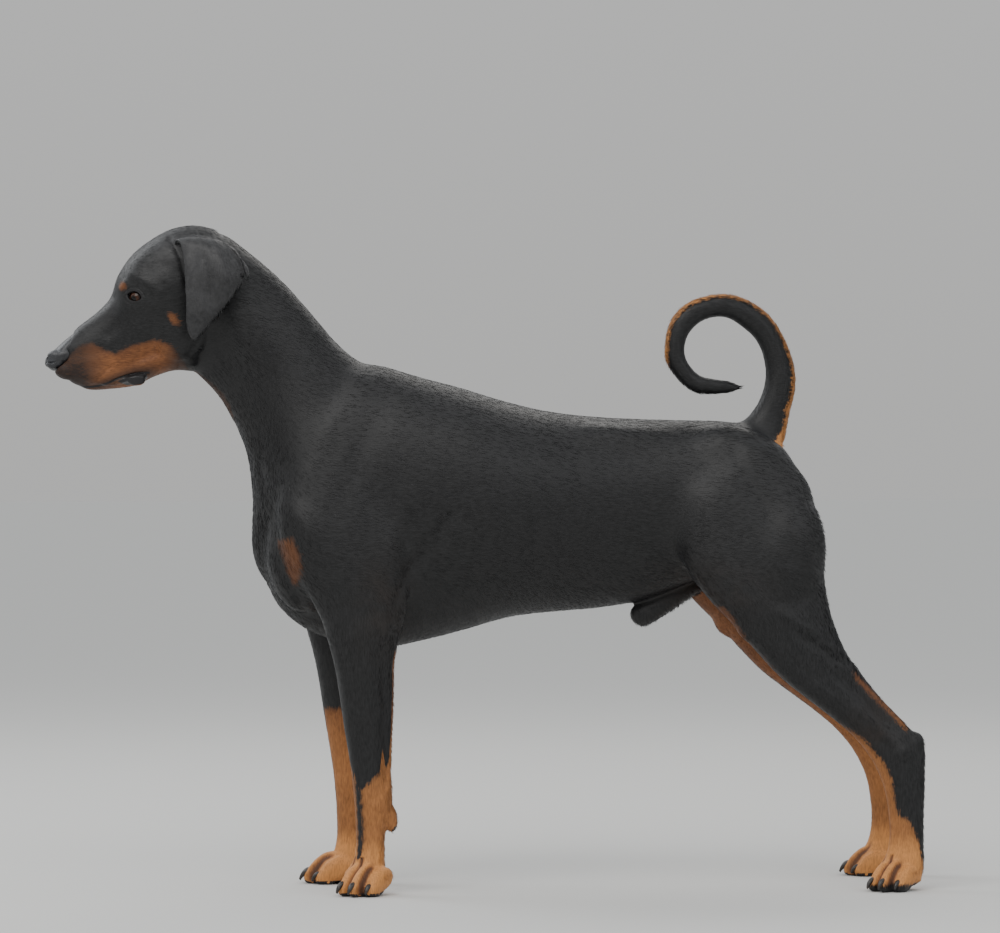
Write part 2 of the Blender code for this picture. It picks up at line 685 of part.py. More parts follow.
def make_face():
    """The head, with its lids, lips, ear cups and the seats of nose and ears, and the parts in them."""
    stub = lambda bm: loft(bm, NECK, sides=28)
    head = flesh("head", [add_head, stub], HEAD_VOXEL, HEAD_FACES, head_softness, [HEAD_CUT])
    below_plane(head, *HEAD_CUT)
    nose = make_nose_pad()
    subtract(head, nose, GAP)
    carve_nose(nose)
    carve_line(head, MOUTH_LINE)
    carve_line(head, FLEW_LINE)
    made = [(head, "black_coat"), (nose, "nose_leather")]
    for side, word in SIDES:
        centre = (EYE[0], side * EYE[1], EYE[2])
        lids = ball_object("lids", centre, EYE_RADIUS + LID, 18, 12)
        boolean(head, lids, "UNION")
        bpy.data.objects.remove(lids)
        eye = ball_object("eye_" + word, centre, EYE_RADIUS, 16, 10)
        subtract(head, eye, GAP)
        subtract_shape(head, lambda bm: add_lid_opening(bm, side))
        subtract_shape(head, lambda bm: ball(bm, *EAR_CUP, side=side, around=12, up=8))
        ear = make_ear("ear_" + word, side)
        subtract(head, ear, GAP)
        made += [(eye, "eye"), (ear, "black_coat")]
    return made


def make_nose_pad():
    bm = bmesh.new()
    loft(bm, NOSE_PAD, sides=16, square=0.9, steps=2, dome=0.5)
    bmesh.ops.recalc_face_normals(bm, faces=bm.faces)
    return new_object("nose", bm)


def carve_nose(nose):
    """The nostrils with the slits behind them, and the groove down the middle."""
    for side in (LEFT, RIGHT):
        subtract_shape(nose, lambda bm: ball(bm, *NOSTRIL, side=side, around=10, up=6))
        subtract_shape(nose, lambda bm: loft(bm, NOSTRIL_SLIT, side, steps=1, sides=6, dome=0.5))
    subtract_shape(nose, lambda bm: loft(bm, PHILTRUM, sides=6, steps=1, dome=0.5))


def make_ear(name, side):
    """A folded leather flap, hollow towards the head."""
    bm = bmesh.new()
    leaf(bm, EAR, side, steps=2, sides=12)
    bmesh.ops.recalc_face_normals(bm, faces=bm.faces)
    return new_object(name, bm)


def ball_object(name, centre, radius, around, up):
    bm = bmesh.new()
    place = Matrix.Translation(mm(*centre))
    bmesh.ops.create_uvsphere(bm, u_segments=around, v_segments=up, radius=radius * MM, matrix=place)
    return new_object(name, bm)


def make_paw(name, add, leg_rows, cut, side):
    """A paw with the end of its leg, flat under the pads, cut off where the pastern begins."""
    leg = lambda bm: loft(bm, leg_rows, side)
    toes = lambda bm: add(bm, side)
    paw = flesh(name, [leg, toes], PAW_VOXEL, PAW_FACES, paw_softness, [cut])
    below_plane(paw, *cut)
    below_plane(paw, (0, 0, 0), (0, 0, -1), 0.0)
    return paw


def make_body():
    """Trunk, neck, tail and legs as one skin, divided into nodes."""

    def all_flesh(bm):
        add_trunk(bm)
        add_head(bm)
        add_tail(bm)
        for side in (LEFT, RIGHT):
            add_fore_leg(bm, side)
            add_hind_leg(bm, side)

    head_side = (HEAD_CUT[0], [-n for n in HEAD_CUT[1]])
    floor_side = ((0, 0, PAW_CUT_Z), (0, 0, -1))
    torso = flesh("torso", [all_flesh], BODY_VOXEL, BODY_FACES, body_softness, [head_side, floor_side])
    below_plane(torso, *head_side)
    below_plane(torso, *floor_side)
    neck = plane_split(torso, "neck", *NECK_CUT)
    root = plane_split(torso, "tail_root", *TAIL_CUT)
    arch = plane_split(root, "tail_arch", *ARCH_CUT)
    tip = plane_split(root, "tail_tip", *TIP_CUT)
    rise = plane_split(root, "tail_rise", *RISE_CUT)
    made = [torso, neck, root, rise, arch, tip]
    for side, word in SIDES:
        shoulder = wall_split(torso, "shoulder_" + word, FORE_OUTLINE, fore_inner, side)
        foreleg = plane_split(shoulder, "foreleg_" + word, *ELBOW_CUT)
        thigh = wall_split(torso, "thigh_" + word, HIND_OUTLINE, hind_inner, side)
        lower = plane_split(thigh, "lower_leg_" + word, *STIFLE_CUT)
        hock = plane_split(lower, "hock_" + word, *HOCK_CUT)
        made += [shoulder, foreleg, thigh, lower, hock]
    return [(obj, "black_coat") for obj in made]


def fore_inner(z):
    return 22 if z < 320 else 50 + (z - 320) * 0.06


def hind_inner(z):
    return 32 if z < 430 else 32 + (z - 430) * 0.1


def centre_on_floor(objects):
    """Moves every node so that the whole stands on z = 0 round the origin."""
    low = np.full(3, np.inf)
    high = np.full(3, -np.inf)
    for obj in objects:
        points = np.array([vert.co for vert in obj.data.vertices])
        low = np.minimum(low, points.min(0))
        high = np.maximum(high, points.max(0))
    move = Matrix.Translation((-(low[0] + high[0]) / 2, -(low[1] + high[1]) / 2, -low[2]))
    print("moved by", move.translation / MM)
    for obj in objects:
        obj.data.transform(move)


def main():
    for obj in list(bpy.data.objects):
        bpy.data.objects.remove(obj)
    made = make_face() + make_body()
    for side, word in SIDES:
        fore_rows = stepped(FOREARM, FORE_STEP[side], 340, 480)[5:]
        hind_rows = stepped(THIGH, HIND_STEP[side], 120, 420)[12:]
        made.append((make_paw("forepaw_" + word, add_fore_paw, fore_rows, PAW_CUT, side), "rust_coat"))
        made.append((make_paw("hindpaw_" + word, add_hind_paw, hind_rows, PAW_CUT, side), "rust_coat"))
    for obj, material in made:
        finish(obj, material)
    centre_on_floor([obj for obj, material in made])


if __name__ == "__main__":
    main()
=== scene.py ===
# %% [markdown]
# # A standing Doberman, dressed over its solids
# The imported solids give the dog's form in 26 parts with thin seams between them. This lesson lays one
# living skin over them, with real eyes, a wet nose, folded ears, claws and a short glossy coat.
# The solids stay as the frame: nothing here moves them, and every size is worked out from them.

# %% Load the solids
import json
import math

import bmesh
import bpy
import numpy as np
from mathutils import Matrix
from mathutils import Vector
from mathutils.bvhtree import BVHTree

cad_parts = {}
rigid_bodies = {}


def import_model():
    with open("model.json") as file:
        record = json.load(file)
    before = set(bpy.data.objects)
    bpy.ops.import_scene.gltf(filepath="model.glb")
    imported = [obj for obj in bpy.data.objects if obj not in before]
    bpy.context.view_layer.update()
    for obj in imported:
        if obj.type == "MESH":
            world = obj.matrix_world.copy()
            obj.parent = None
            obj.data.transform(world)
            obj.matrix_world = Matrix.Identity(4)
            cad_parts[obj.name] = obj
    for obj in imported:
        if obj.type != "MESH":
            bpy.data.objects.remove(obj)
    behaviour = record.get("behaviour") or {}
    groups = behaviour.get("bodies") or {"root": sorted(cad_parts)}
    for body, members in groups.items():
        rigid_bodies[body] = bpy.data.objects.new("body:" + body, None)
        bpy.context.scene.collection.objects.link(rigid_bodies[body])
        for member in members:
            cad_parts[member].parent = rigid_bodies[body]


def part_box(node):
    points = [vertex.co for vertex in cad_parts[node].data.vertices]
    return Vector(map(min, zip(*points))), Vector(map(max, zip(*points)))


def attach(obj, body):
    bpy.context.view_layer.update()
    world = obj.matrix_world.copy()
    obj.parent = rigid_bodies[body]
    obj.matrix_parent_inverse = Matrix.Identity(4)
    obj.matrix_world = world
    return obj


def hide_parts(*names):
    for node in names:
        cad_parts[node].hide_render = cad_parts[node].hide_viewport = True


for start_object in list(bpy.data.objects):
    bpy.data.objects.remove(start_object)
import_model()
bpy.context.view_layer.update()

# %% [markdown]
# ## One measure for everything
# The tables below are in millimetres, in a frame where the dog's middle plane is y = 0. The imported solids
# are centred on the floor, so they stand a few millimetres off. The near eyeball is a true ball, so its
# middle tells both the scale and the shift, and each finished piece is moved by them once, in its mesh.

# %% Scale and shift from the near eyeball
LEFT = -1
RIGHT = 1
SIDES = ((LEFT, "left"), (RIGHT, "right"))
EYE = (-461.0, 36.0, 776.0)
eye_low, eye_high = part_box("eye_left")
eye_middle = (eye_low + eye_high) / 2
MM = eye_middle.z / EYE[2]
SHIFT = eye_middle - Vector((EYE[0], LEFT * EYE[1], EYE[2])) * MM
TO_FRAME = Matrix.Translation(SHIFT) @ Matrix.Diagonal((MM, MM, MM, 1.0))
print("one table millimetre is", round(MM, 7), "m, shift in mm", [round(c / MM, 2) for c in SHIFT])

# %% [markdown]
# ## The camera, the floor and the light
# The photograph was taken level from the dog's left, turned 7 degrees, from about 6.5 m with a long lens.
# A long lens flattens the legs on the far side against the near ones, so the distance matters as much as
# the angle. Soft light comes from large area lamps: one high at the front, one from the camera's side and
# a cool one from behind, which lights the fringe of the tail as the sky does in the photograph.

# %% Camera
YAW = math.radians(7.0)
DISTANCE = 6.5
CAMERA_HIGH = 0.62
FOCAL_PIXELS = 4920.5
MIDDLE_PIXEL = (486.5, 417.66)
IMAGE = (1000, 933)
SENSOR = 36.0


def into_scene(name, data):
    """A new object in the scene."""
    made = bpy.data.objects.new(name, data)
    bpy.context.scene.collection.objects.link(made)
    return made


def make_camera():
    """The camera at the photograph's place, with its middle shifted as the photograph is framed."""
    data = bpy.data.cameras.new("camera")
    data.sensor_width = SENSOR
    data.lens = FOCAL_PIXELS / IMAGE[0] * SENSOR
    data.shift_x = (IMAGE[0] / 2 - MIDDLE_PIXEL[0]) / IMAGE[0]
    data.shift_y = (MIDDLE_PIXEL[1] - IMAGE[1] / 2) / IMAGE[0]
    data.clip_end = 100.0
    camera = into_scene("camera", data)
    ahead = Vector((math.sin(YAW), math.cos(YAW), 0.0))
    camera.location = SHIFT - ahead * DISTANCE + Vector((0, 0, CAMERA_HIGH))
    camera.rotation_euler = (math.radians(90), 0.0, -YAW)
    bpy.context.scene.camera = camera
    return camera


camera = make_camera()

# %% Floor, sky and lamps
# The sky is as bright at the horizon as the far floor, so that the two meet without a line.
FLOOR_COLOUR = (0.60, 0.60, 0.587, 1.0)
FLOOR_ROUGHNESS = 0.8
FLOOR_HALF = 30.0
SKY_LOW = (0.489, 0.489, 0.483, 1.0)
SKY_HIGH = (0.96, 0.98, 1.0, 1.0)
SKY_POWER = 1.07
# Each lamp: place, the point it looks at, size, power and colour
LAMPS = [
    ((-1.4, -2.4, 3.4), (0.0, 0.0, 0.4), 2.6, 75.0, (1.0, 0.98, 0.95)),
    ((1.9, -2.8, 2.2), (0.1, 0.0, 0.4), 2.0, 16.0, (0.98, 0.99, 1.0)),
    ((1.1, 2.4, 2.8), (0.1, 0.0, 0.6), 1.8, 20.0, (1.0, 0.96, 0.9)),
    ((-2.2, 1.6, 2.6), (-0.3, 0.0, 0.6), 1.8, 38.0, (0.96, 0.98, 1.0)),
]


def new_material(name):
    """A material, the place in the object's own coordinates as a node output, and the shader."""
    made = bpy.data.materials.new(name)
    made.use_nodes = True
    nodes = made.node_tree.nodes
    return made, nodes.new("ShaderNodeTexCoord").outputs["Object"], nodes["Principled BSDF"]


def set_shader(shader, values):
    """Sets constants on the shader's own sockets."""
    for name, value in values.items():
        shader.inputs[name].default_value = value


def make_floor():
    bm = bmesh.new()
    bmesh.ops.create_grid(bm, x_segments=1, y_segments=1, size=FLOOR_HALF)
    mesh = bpy.data.meshes.new("floor")
    bm.to_mesh(mesh)
    bm.free()
    floor = into_scene("floor", mesh)
    material, where, shader = new_material("pale_floor")
    floor_look = {"Base Color": FLOOR_COLOUR, "Roughness": FLOOR_ROUGHNESS, "Specular IOR Level": 0.0}
    set_shader(shader, floor_look)
    mesh.materials.append(material)


def make_light():
    """A pale sky and four soft lamps."""
    world = bpy.data.worlds.new("sky")
    world.use_nodes = True
    tree = world.node_tree
    sky = tree.nodes["Background"]
    sky.inputs["Strength"].default_value = SKY_POWER
    way = tree.nodes.new("ShaderNodeTexCoord").outputs["Generated"]
    parts = tree.nodes.new("ShaderNodeSeparateXYZ")
    tree.links.new(way, parts.inputs[0])
    rise = tree.nodes.new("ShaderNodeValToRGB")
    rise.color_ramp.elements[0].color = SKY_LOW
    rise.color_ramp.elements[1].color = SKY_HIGH
    tree.links.new(parts.outputs["Z"], rise.inputs["Fac"])
    tree.links.new(rise.outputs["Color"], sky.inputs["Color"])
    bpy.context.scene.world = world
    for number, (place, target, size, power, colour) in enumerate(LAMPS):
        data = bpy.data.lights.new(f"lamp_{number}", "AREA")
        data.size = size
        data.energy = power
        data.color = colour
        lamp = into_scene(f"lamp_{number}", data)
        lamp.location = place
        lamp.rotation_euler = (Vector(target) - Vector(place)).to_track_quat("-Z", "Y").to_euler()


make_floor()
make_light()
print("camera at", [round(c, 3) for c in camera.location], "lens", round(camera.data.lens, 1), "mm")

# %% [markdown]
# ## Volumes under the skin
# A short-coated dog is muscle and bone under a thin skin. The skin could be drawn as one subdivided cage,
# but legs, toes and brows would each need their own loops of faces. Here the body is made as a sculptor
# packs clay: tubes through cross-sections for trunk, neck, head, legs and tail, and ellipsoids for the
# muscles. A voxel remesh then joins them all into one closed skin, and smoothing melts the joints.

# %% Cross-sections of trunk, neck and head
# A row: top x, top z, low x, low z, middle y, half width, egg (above 0 the top is wider than the bottom).
TORSO = [
    (-289, 528, -292, 436, 0, 35, 0.0),
    (-287, 566, -289, 398, 0, 62, 0.0),
    (-264, 606, -266, 362, 0, 82, 0.05),
    (-225, 650, -228, 336, 0, 94, 0.08),
    (-185, 686, -182, 322, 0, 101, 0.08),
    (-145, 691, -135, 317, 0, 107, 0.08),
    (-90, 675, -80, 327, 0, 113, 0.08),
    (-35, 661, -25, 341, 0, 116, 0.08),
    (20, 644, 30, 356, 0, 112, 0.08),
    (80.5, 630, 85.5, 362.6, 0, 101, 0.1),
    (141, 623, 146, 367.3, 0, 88, 0.1),
    (201.7, 620, 206.7, 377.1, 0, 84, 0.1),
    (262.4, 618, 264.5, 396.9, 0, 86, 0.1),
    (323.4, 616, 323.4, 418.8, 0, 80, 0.1),
    (368, 600, 366.1, 438.8, 0, 70, 0.1),
    (396, 569, 393, 460.8, 0, 55, 0.1),
    (410, 535.3, 408, 484.9, 0, 36, 0.0),
]
NECK = [
    (-392, 868, -404, 690, 0, 50, 0.2),
    (-350, 862, -382, 676, 0, 51, 0.22),
    (-309, 834, -352, 644, 0, 53, 0.2),
    (-270, 801, -331, 604, 0, 56, 0.14),
    (-234, 762, -317, 568, 0, 63, 0.04),
    (-197, 719, -311, 528, 0, 74, -0.08),
    (-166, 694, -306, 488, 0, 86, -0.15),
    (-140, 684, -285, 450, 0, 90, -0.1),
]
SKULL = [
    (-562, 712, -556, 675, 0, 18, 0.1),
    (-554, 723, -545, 664, 0, 25, 0.05),
    (-538, 740, -522, 657, 0, 29, 0.0),
    (-516, 757, -496, 659, 0, 32, 0.0),
    (-497, 777, -470, 668, 0, 37, 0.0),
    (-487, 806, -446, 682, 0, 46, 0.05),
    (-468, 834, -425, 690, 0, 54, 0.1),
    (-443, 854, -405, 692, 0, 58, 0.1),
    (-418, 867.5, -388, 690, 0, 58, 0.1),
    (-390, 873, -372, 690, 0, 54, 0.1),
    (-362, 869, -358, 700, 0, 46, 0.1),
]
JAW = [
    (-545, 676, -541, 663, 0, 12, 0.2),
    (-532, 682, -524, 655.5, 0, 18, 0.2),
    (-508, 690, -496, 656.5, 0, 24, 0.2),
    (-480, 698, -464, 661, 0, 30, 0.2),
    (-452, 705, -438, 673, 0, 37, 0.2),
    (-425, 715, -412, 681, 0, 42, 0.2),
    (-400, 730, -388, 680, 0, 43, 0.2),
]

# %% Cross-sections of the legs and the tail
SHOULDER = [
    (-198, 668, -138, 672, 40, 16, 0.0),
    (-226, 625, -118, 634, 58, 24, 0.0),
    (-264, 565, -104, 575, 70, 29, 0.0),
    (-285, 508, -100, 505, 80, 31, 0.0),
    (-281, 458, -104, 445, 87, 32, 0.0),
    (-258, 412, -110, 398, 90, 31, 0.0),
    (-238, 376, -116, 365, 90, 29, 0.0),
    (-222, 345, -122, 340, 89, 27, 0.0),
]
FOREARM = [
    (-236, 384, -122, 376, 89, 29, 0.0),
    (-223, 342, -121, 349, 89, 31, 0.1),
    (-212, 303, -130, 308, 88, 29, 0.15),
    (-205, 266, -131, 269, 86, 26, 0.2),
    (-199, 226, -132, 229, 84, 22.5, 0.25),
    (-193, 190, -133, 193, 82, 20, 0.25),
    (-188, 158, -134, 160, 81, 19.5, 0.2),
    (-185, 132, -133, 136, 80, 21, 0.15),
    (-183, 108, -133, 110, 80, 20.5, 0.1),
    (-182, 86, -141, 84, 80, 19, 0.0),
    (-182, 62, -143, 58, 80, 19.5, 0.0),
    (-186, 42, -143, 34, 80, 22, 0.0),
    (-196, 28, -146, 16, 80, 25, 0.0),
]
THIGH = [
    (306.2, 592.1, 404.3, 559.8, 52, 38, 0.0),
    (258, 531, 428.8, 504.3, 66, 40, 0.0),
    (238, 471, 435, 444.8, 77, 41, 0.0),
    (248, 425, 441.1, 390.3, 86, 38, 0.05),
    (279.7, 382.9, 450.4, 345.8, 93, 35, 0.15),
    (311, 350, 467.8, 307.4, 95, 30, 0.25),
    (345, 311.5, 491.4, 273.9, 96, 26.5, 0.35),
    (375.6, 278.7, 517.1, 244.5, 97, 24, 0.4),
    (411.4, 250.3, 540.8, 220.1, 98, 21, 0.4),
    (447.3, 222.8, 560.3, 201.7, 98, 19, 0.3),
    (475, 198.3, 569.6, 185.5, 98, 19, 0.15),
    (497.6, 168.9, 569.6, 157.1, 99, 19, 0.1),
    (512, 136.4, 568.6, 125.8, 100, 18, 0.0),
    (518.1, 105.1, 567.5, 94.5, 101, 17.5, 0.0),
    (520.2, 74.7, 566.5, 64.2, 102, 18, 0.0),
    (516.1, 48.5, 566.5, 35.8, 103, 20, 0.0),
    (504.8, 28.4, 562.4, 11.6, 103, 23, 0.0),
]
# The tail is drawn from its outer edge to its inner edge.
TAIL = [
    (392.6, 559.6, 325.4, 599.9, 0, 30, 0.0),
    (401.8, 589.8, 343.7, 619, 0, 24, 0.0),
    (405.9, 617, 358, 633.1, 0, 21, 0.0),
    (411, 644.2, 368.2, 651.2, 0, 19.5, 0.0),
    (414, 668.4, 373.2, 672.4, 0, 18.5, 0.0),
    (411, 691.5, 372.2, 691.5, 0, 17.5, 0.0),
    (400.8, 720.8, 367.1, 709.6, -1, 16.5, 0.0),
    (380.4, 754, 354.9, 728.7, -2, 15.5, 0.0),
    (348.8, 776, 328.5, 748.8, -3, 15, 0.0),
    (317.3, 784, 309.1, 752.8, -4, 14.5, 0.0),
    (280.7, 777.8, 290.9, 748.7, -5, 14, 0.0),
    (256.4, 762.7, 275.6, 737.6, -6, 13.5, 0.0),
    (242.2, 740.5, 266.5, 722.5, -7, 13, 0.0),
    (237.1, 704.4, 264.5, 705.4, -8, 12.5, 0.0),
    (245.2, 682.3, 270.6, 690.4, -9, 12, 0.0),
    (259.4, 664.2, 283.8, 677.3, -9, 11.5, 0.0),
    (275.6, 653.2, 302, 672.3, -10, 11, 0.0),
    (295.9, 650.2, 319.3, 670.3, -10, 10, 0.0),
    (317.3, 651.2, 330.5, 666.3, -10, 7.5, 0.0),
    (333.5, 655.2, 338.6, 662.3, -10, 3.5, 0.0),
]
SHEATH = [
    (303.1, 408, 309.1, 398, 0, 10, 0.0),
    (268.5, 401, 274.6, 381, 0, 13, 0.0),
    (236.1, 389, 242.2, 360, 0, 15, 0.0),
    (209.8, 378, 213.8, 343.9, 0, 14, 0.0),
    (195.6, 371.1, 198.6, 346, 0, 10, 0.0),
]
# The right legs stand a little out of step with the left ones.
FORE_STEP = {LEFT: 0.0, RIGHT: -10.0}
HIND_STEP = {LEFT: 0.0, RIGHT: 17.0}
FORE_TOE_OUT = {LEFT: 42.0, RIGHT: 8.0}
FORE_PAW_AHEAD = {LEFT: 5.0, RIGHT: -7.0}
HIND_TOE_OUT = {LEFT: 38.0, RIGHT: 14.0}
TOE = [
    (-4, 50, -2, 16, 0, 11, 0.0),
    (-18, 52, -13, 10, 0, 11.5, 0.05),
    (-33, 49, -28, 5, 0, 12, 0.1),
    (-45, 41, -42, -1, 0, 11.2, 0.0),
    (-54, 32, -54, -2, 0, 10.5, -0.1),
    (-60, 24, -60, 1, 0, 8.5, -0.1),
]
CLAW = [
    (-54, 25, -56, 14, 0, 4.4, 0.0),
    (-64, 23.5, -63, 13, 0, 4.2, 0.0),
    (-71, 17, -69, 9, 0, 3.3, 0.0),
    (-74.5, 8, -71.5, 5, 0, 1.6, 0.0),
]
# For each toe: side of the paw's middle, how far it is set back, its splay, and its size
TOES = [(-20, 11, -9, 0.88), (-8.5, 0, -3, 1.0), (8.5, 0, 3, 1.0), (20, 11, 9, 0.88)]
FORE_PAW = (-163, 81)
FORE_PAW_SIZE = 0.82
HIND_PAW = (536, 103)
HIND_PAW_SIZE = 0.78
print("rows", len(TORSO + NECK + SKULL + JAW + SHOULDER + FOREARM + THIGH + TAIL))

# %% [markdown]
# ## Tubes and muscles
# A circle of vertices is extruded from row to row, and each new ring is laid on its cross-section, so the
# tube grows as a stem grows. Between the rows a smooth curve gives more rings, and two small rings round
# each end. `create_uvsphere` with a stretched matrix gives a muscle.


# %% Rings between the rows, and round ends
def in_between(rows, steps):
    """The rows with more between each pair, on smooth curves through all of them."""
    table = np.array(rows, float)
    padded = np.vstack([2 * table[0] - table[1], table, 2 * table[-1] - table[-2]])
    made = []
    for a, b, c, d in zip(padded, padded[1:], padded[2:], padded[3:]):
        for t in np.arange(steps) / steps:
            bend = (c - a) * t + (2 * a - 5 * b + 4 * c - d) * t**2 + (3 * b - a - 3 * c + d) * t**3
            made.append(b + 0.5 * bend)
    return [*made, table[-1]]


def domed(rings, dome):
    """The rings with two smaller ones beyond each end, so that the ends are round."""
    for back in (False, True):
        rings = rings[::-1] if back else rings
        centre, up, across, egg, bow = rings[0]
        way = (centre - rings[1][0]).normalized()
        reach = min(across.length, up.length) * dome
        near = (centre + way * reach * 0.6, up * 0.8, across * 0.8, egg, bow * 0.8)
        far = (centre + way * reach, up * 0.4, across * 0.4, egg, bow * 0.4)
        rings = [far, near, *rings]
        rings = rings[::-1] if back else rings
    return rings


# %% Growing a tube ring by ring
def next_loop(bm, loop):
    """Extrudes a ring of vertices, and returns the new ring in the same order."""
    ring = set(loop)
    edges = {edge for vert in loop for edge in vert.link_edges if set(edge.verts) <= ring}
    made = bmesh.ops.extrude_edge_only(bm, edges=list(edges))["geom"]
    new = {item for item in made if isinstance(item, bmesh.types.BMVert)}
    return [next(e.other_vert(vert) for e in vert.link_edges if e.other_vert(vert) in new) for vert in loop]


def pour_into(bm, small):
    """Adds a small bmesh to a large one: an operator is slow where the bmesh that it works on is large."""
    mesh = bpy.data.meshes.new("poured")
    small.to_mesh(mesh)
    small.free()
    bm.from_mesh(mesh)
    bpy.data.meshes.remove(mesh)


def tube(bm, rings, side, place, sides, square, dome):
    """Adds a closed tube through the rings, mirrored to the left with side -1."""
    stem = bmesh.new()
    loop = bmesh.ops.create_circle(stem, segments=sides, radius=1.0)["verts"]
    circle = [vert.co.copy() for vert in loop]
    stem.faces.new(loop)
    for number, (centre, up, across, egg, bow) in enumerate(domed(rings, dome)):
        loop = next_loop(stem, loop) if number else loop
        for vert, spoke in zip(loop, circle):
            along = math.copysign(abs(spoke.y) ** square, spoke.y)
            out = math.copysign(abs(spoke.x) ** square, spoke.x)
            point = centre + up * along + across * out * (1 + egg * along)
            point += across.normalized() * bow * (1 - along**2)
            vert.co = place @ Vector((point.x, side * point.y, point.z))
    stem.faces.new(loop)
    pour_into(bm, stem)


# %% A tube through side-view rows, and an ellipsoid
def loft(bm, rows, side=RIGHT, place=None, steps=4, sides=32, square=1.0, dome=0.6):
    """Adds a tube through rows drawn in side view."""
    rings = []
    for top_x, top_z, low_x, low_z, mid_y, half, egg in in_between(rows, steps):
        top = Vector((top_x, mid_y, top_z))
        low = Vector((low_x, mid_y, low_z))
        rings.append(((top + low) / 2, (top - low) / 2, Vector((0, half, 0)), egg, 0.0))
    tube(bm, rings, side, place or Matrix.Identity(4), sides, square, dome)


def ball(bm, centre, radii, lean=0.0, side=RIGHT, place=None, around=24, up=16):
    """Adds an ellipsoid; a lean above 0 tips its top towards the tail by that many degrees."""
    x, y, z = centre
    spot = Matrix.Translation((x, side * y, z)) @ Matrix.Rotation(math.radians(lean), 4, "Y")
    matrix = (place or Matrix.Identity(4)) @ spot @ Matrix.Diagonal((*radii, 1.0))
    muscle = bmesh.new()
    bmesh.ops.create_uvsphere(muscle, u_segments=around, v_segments=up, radius=1.0, matrix=matrix)
    pour_into(bm, muscle)


# %% Where legs step and paws stand
def share(value, start, end):
    """0 before start, 1 after end and even between them."""
    return np.clip((value - start) / (end - start), 0.0, 1.0)


def smooth_share(value, start, end):
    """As share, but easing in and out."""
    t = share(value, start, end)
    return t * t * (3 - 2 * t)


def bell(*parts):
    """1 where every value is 0, and falling off smoothly over the width that is given with each."""
    return np.exp(-sum((value / width) ** 2 for value, width in parts))


def unit(vectors):
    """The same directions, each with a length of 1."""
    return vectors / np.maximum(np.linalg.norm(vectors, axis=-1), 1e-6)[..., None]


def dots(a, b):
    """The dot product of each pair of rows."""
    return np.einsum("ij,ij->i", a, b)


def stepped(rows, step, start, end):
    """The rows of a leg, moved along X by step up to the height start and not at all above end."""
    made = []
    for top_x, top_z, low_x, low_z, *rest in rows:
        move = step * (1 - share((top_z + low_z) / 2, start, end))
        made.append((top_x + move, top_z, low_x + move, low_z, *rest))
    return made


def paw_place(spot, step, toe_out, side, size):
    """Where a paw's own frame stands: its toes point along -X of that frame."""
    x, y = spot
    turn = Matrix.Rotation(math.radians(toe_out) * -side, 4, "Z")
    return Matrix.Translation((x + step, side * y, 0)) @ turn @ Matrix.Diagonal((size, size, size, 1))


def fore_paw_place(side):
    step = FORE_STEP[side] + FORE_PAW_AHEAD[side]
    return paw_place(FORE_PAW, step, FORE_TOE_OUT[side], side, FORE_PAW_SIZE)


def hind_paw_place(side):
    return paw_place(HIND_PAW, HIND_STEP[side], HIND_TOE_OUT[side], side, HIND_PAW_SIZE)


def all_paws():
    """The frames of the four paws."""
    return [place(side) for side in (LEFT, RIGHT) for place in (fore_paw_place, hind_paw_place)]


def toe_places(paw):
    """The frame of each toe in a paw."""
    for across, back, splay, size in TOES:
        toe = Matrix.Translation((back, across, 0)) @ Matrix.Rotation(math.radians(-splay), 4, "Z")
        yield paw @ toe @ Matrix.Diagonal((size, 1.0, size, 1.0))


# %% Trunk and head
# Each muscle of one side: its centre, its half sizes and its lean
TRUNK_MUSCLES = [
    # Breast, shoulder blade and its muscles, loin and croup
    ((-252, 44, 430), (44, 46, 66), -10),
    ((-170, 34, 645), (56, 26, 36), 8),
    ((150, 36, 586), (130, 34, 28), 1),
    ((322, 46, 568), (66, 38, 44), 10),
    # Neck muscle from behind the ear to the shoulder, and the scrotum
    ((-300, 32, 712), (40, 30, 120), -32),
    ((404, 15, 424), (22, 16, 28), -12),
]
HEAD_MUSCLES = [
    # Brow, cheekbone, jaw muscle, upper lip and its corner, the muzzle's end and the root of the ear
    ((-469, 29, 794), (19, 14, 13), -30),
    ((-436, 42, 768), (42, 13, 13), 12),
    ((-410, 37, 740), (40, 18, 48), -8),
    ((-506, 17, 679), (44, 13, 18), 4),
    ((-463, 26, 668), (13, 6, 8), 0),
    ((-549, 11, 682), (21, 13, 14), 0),
    ((-380, 40, 840), (32, 16, 18), 6),
]


def add_trunk(bm):
    loft(bm, TORSO, sides=48)
    loft(bm, NECK, sides=40)
    # The point of the breastbone
    ball(bm, (-271, 0, 461), (42, 40, 66))
    for side in (LEFT, RIGHT):
        for muscle in TRUNK_MUSCLES:
            ball(bm, *muscle, side)
    loft(bm, SHEATH, sides=24)


def add_head(bm):
    loft(bm, SKULL, sides=48, square=0.86)
    loft(bm, JAW, sides=32, square=0.9)
    for side in (LEFT, RIGHT):
        for muscle in HEAD_MUSCLES:
            ball(bm, *muscle, side)


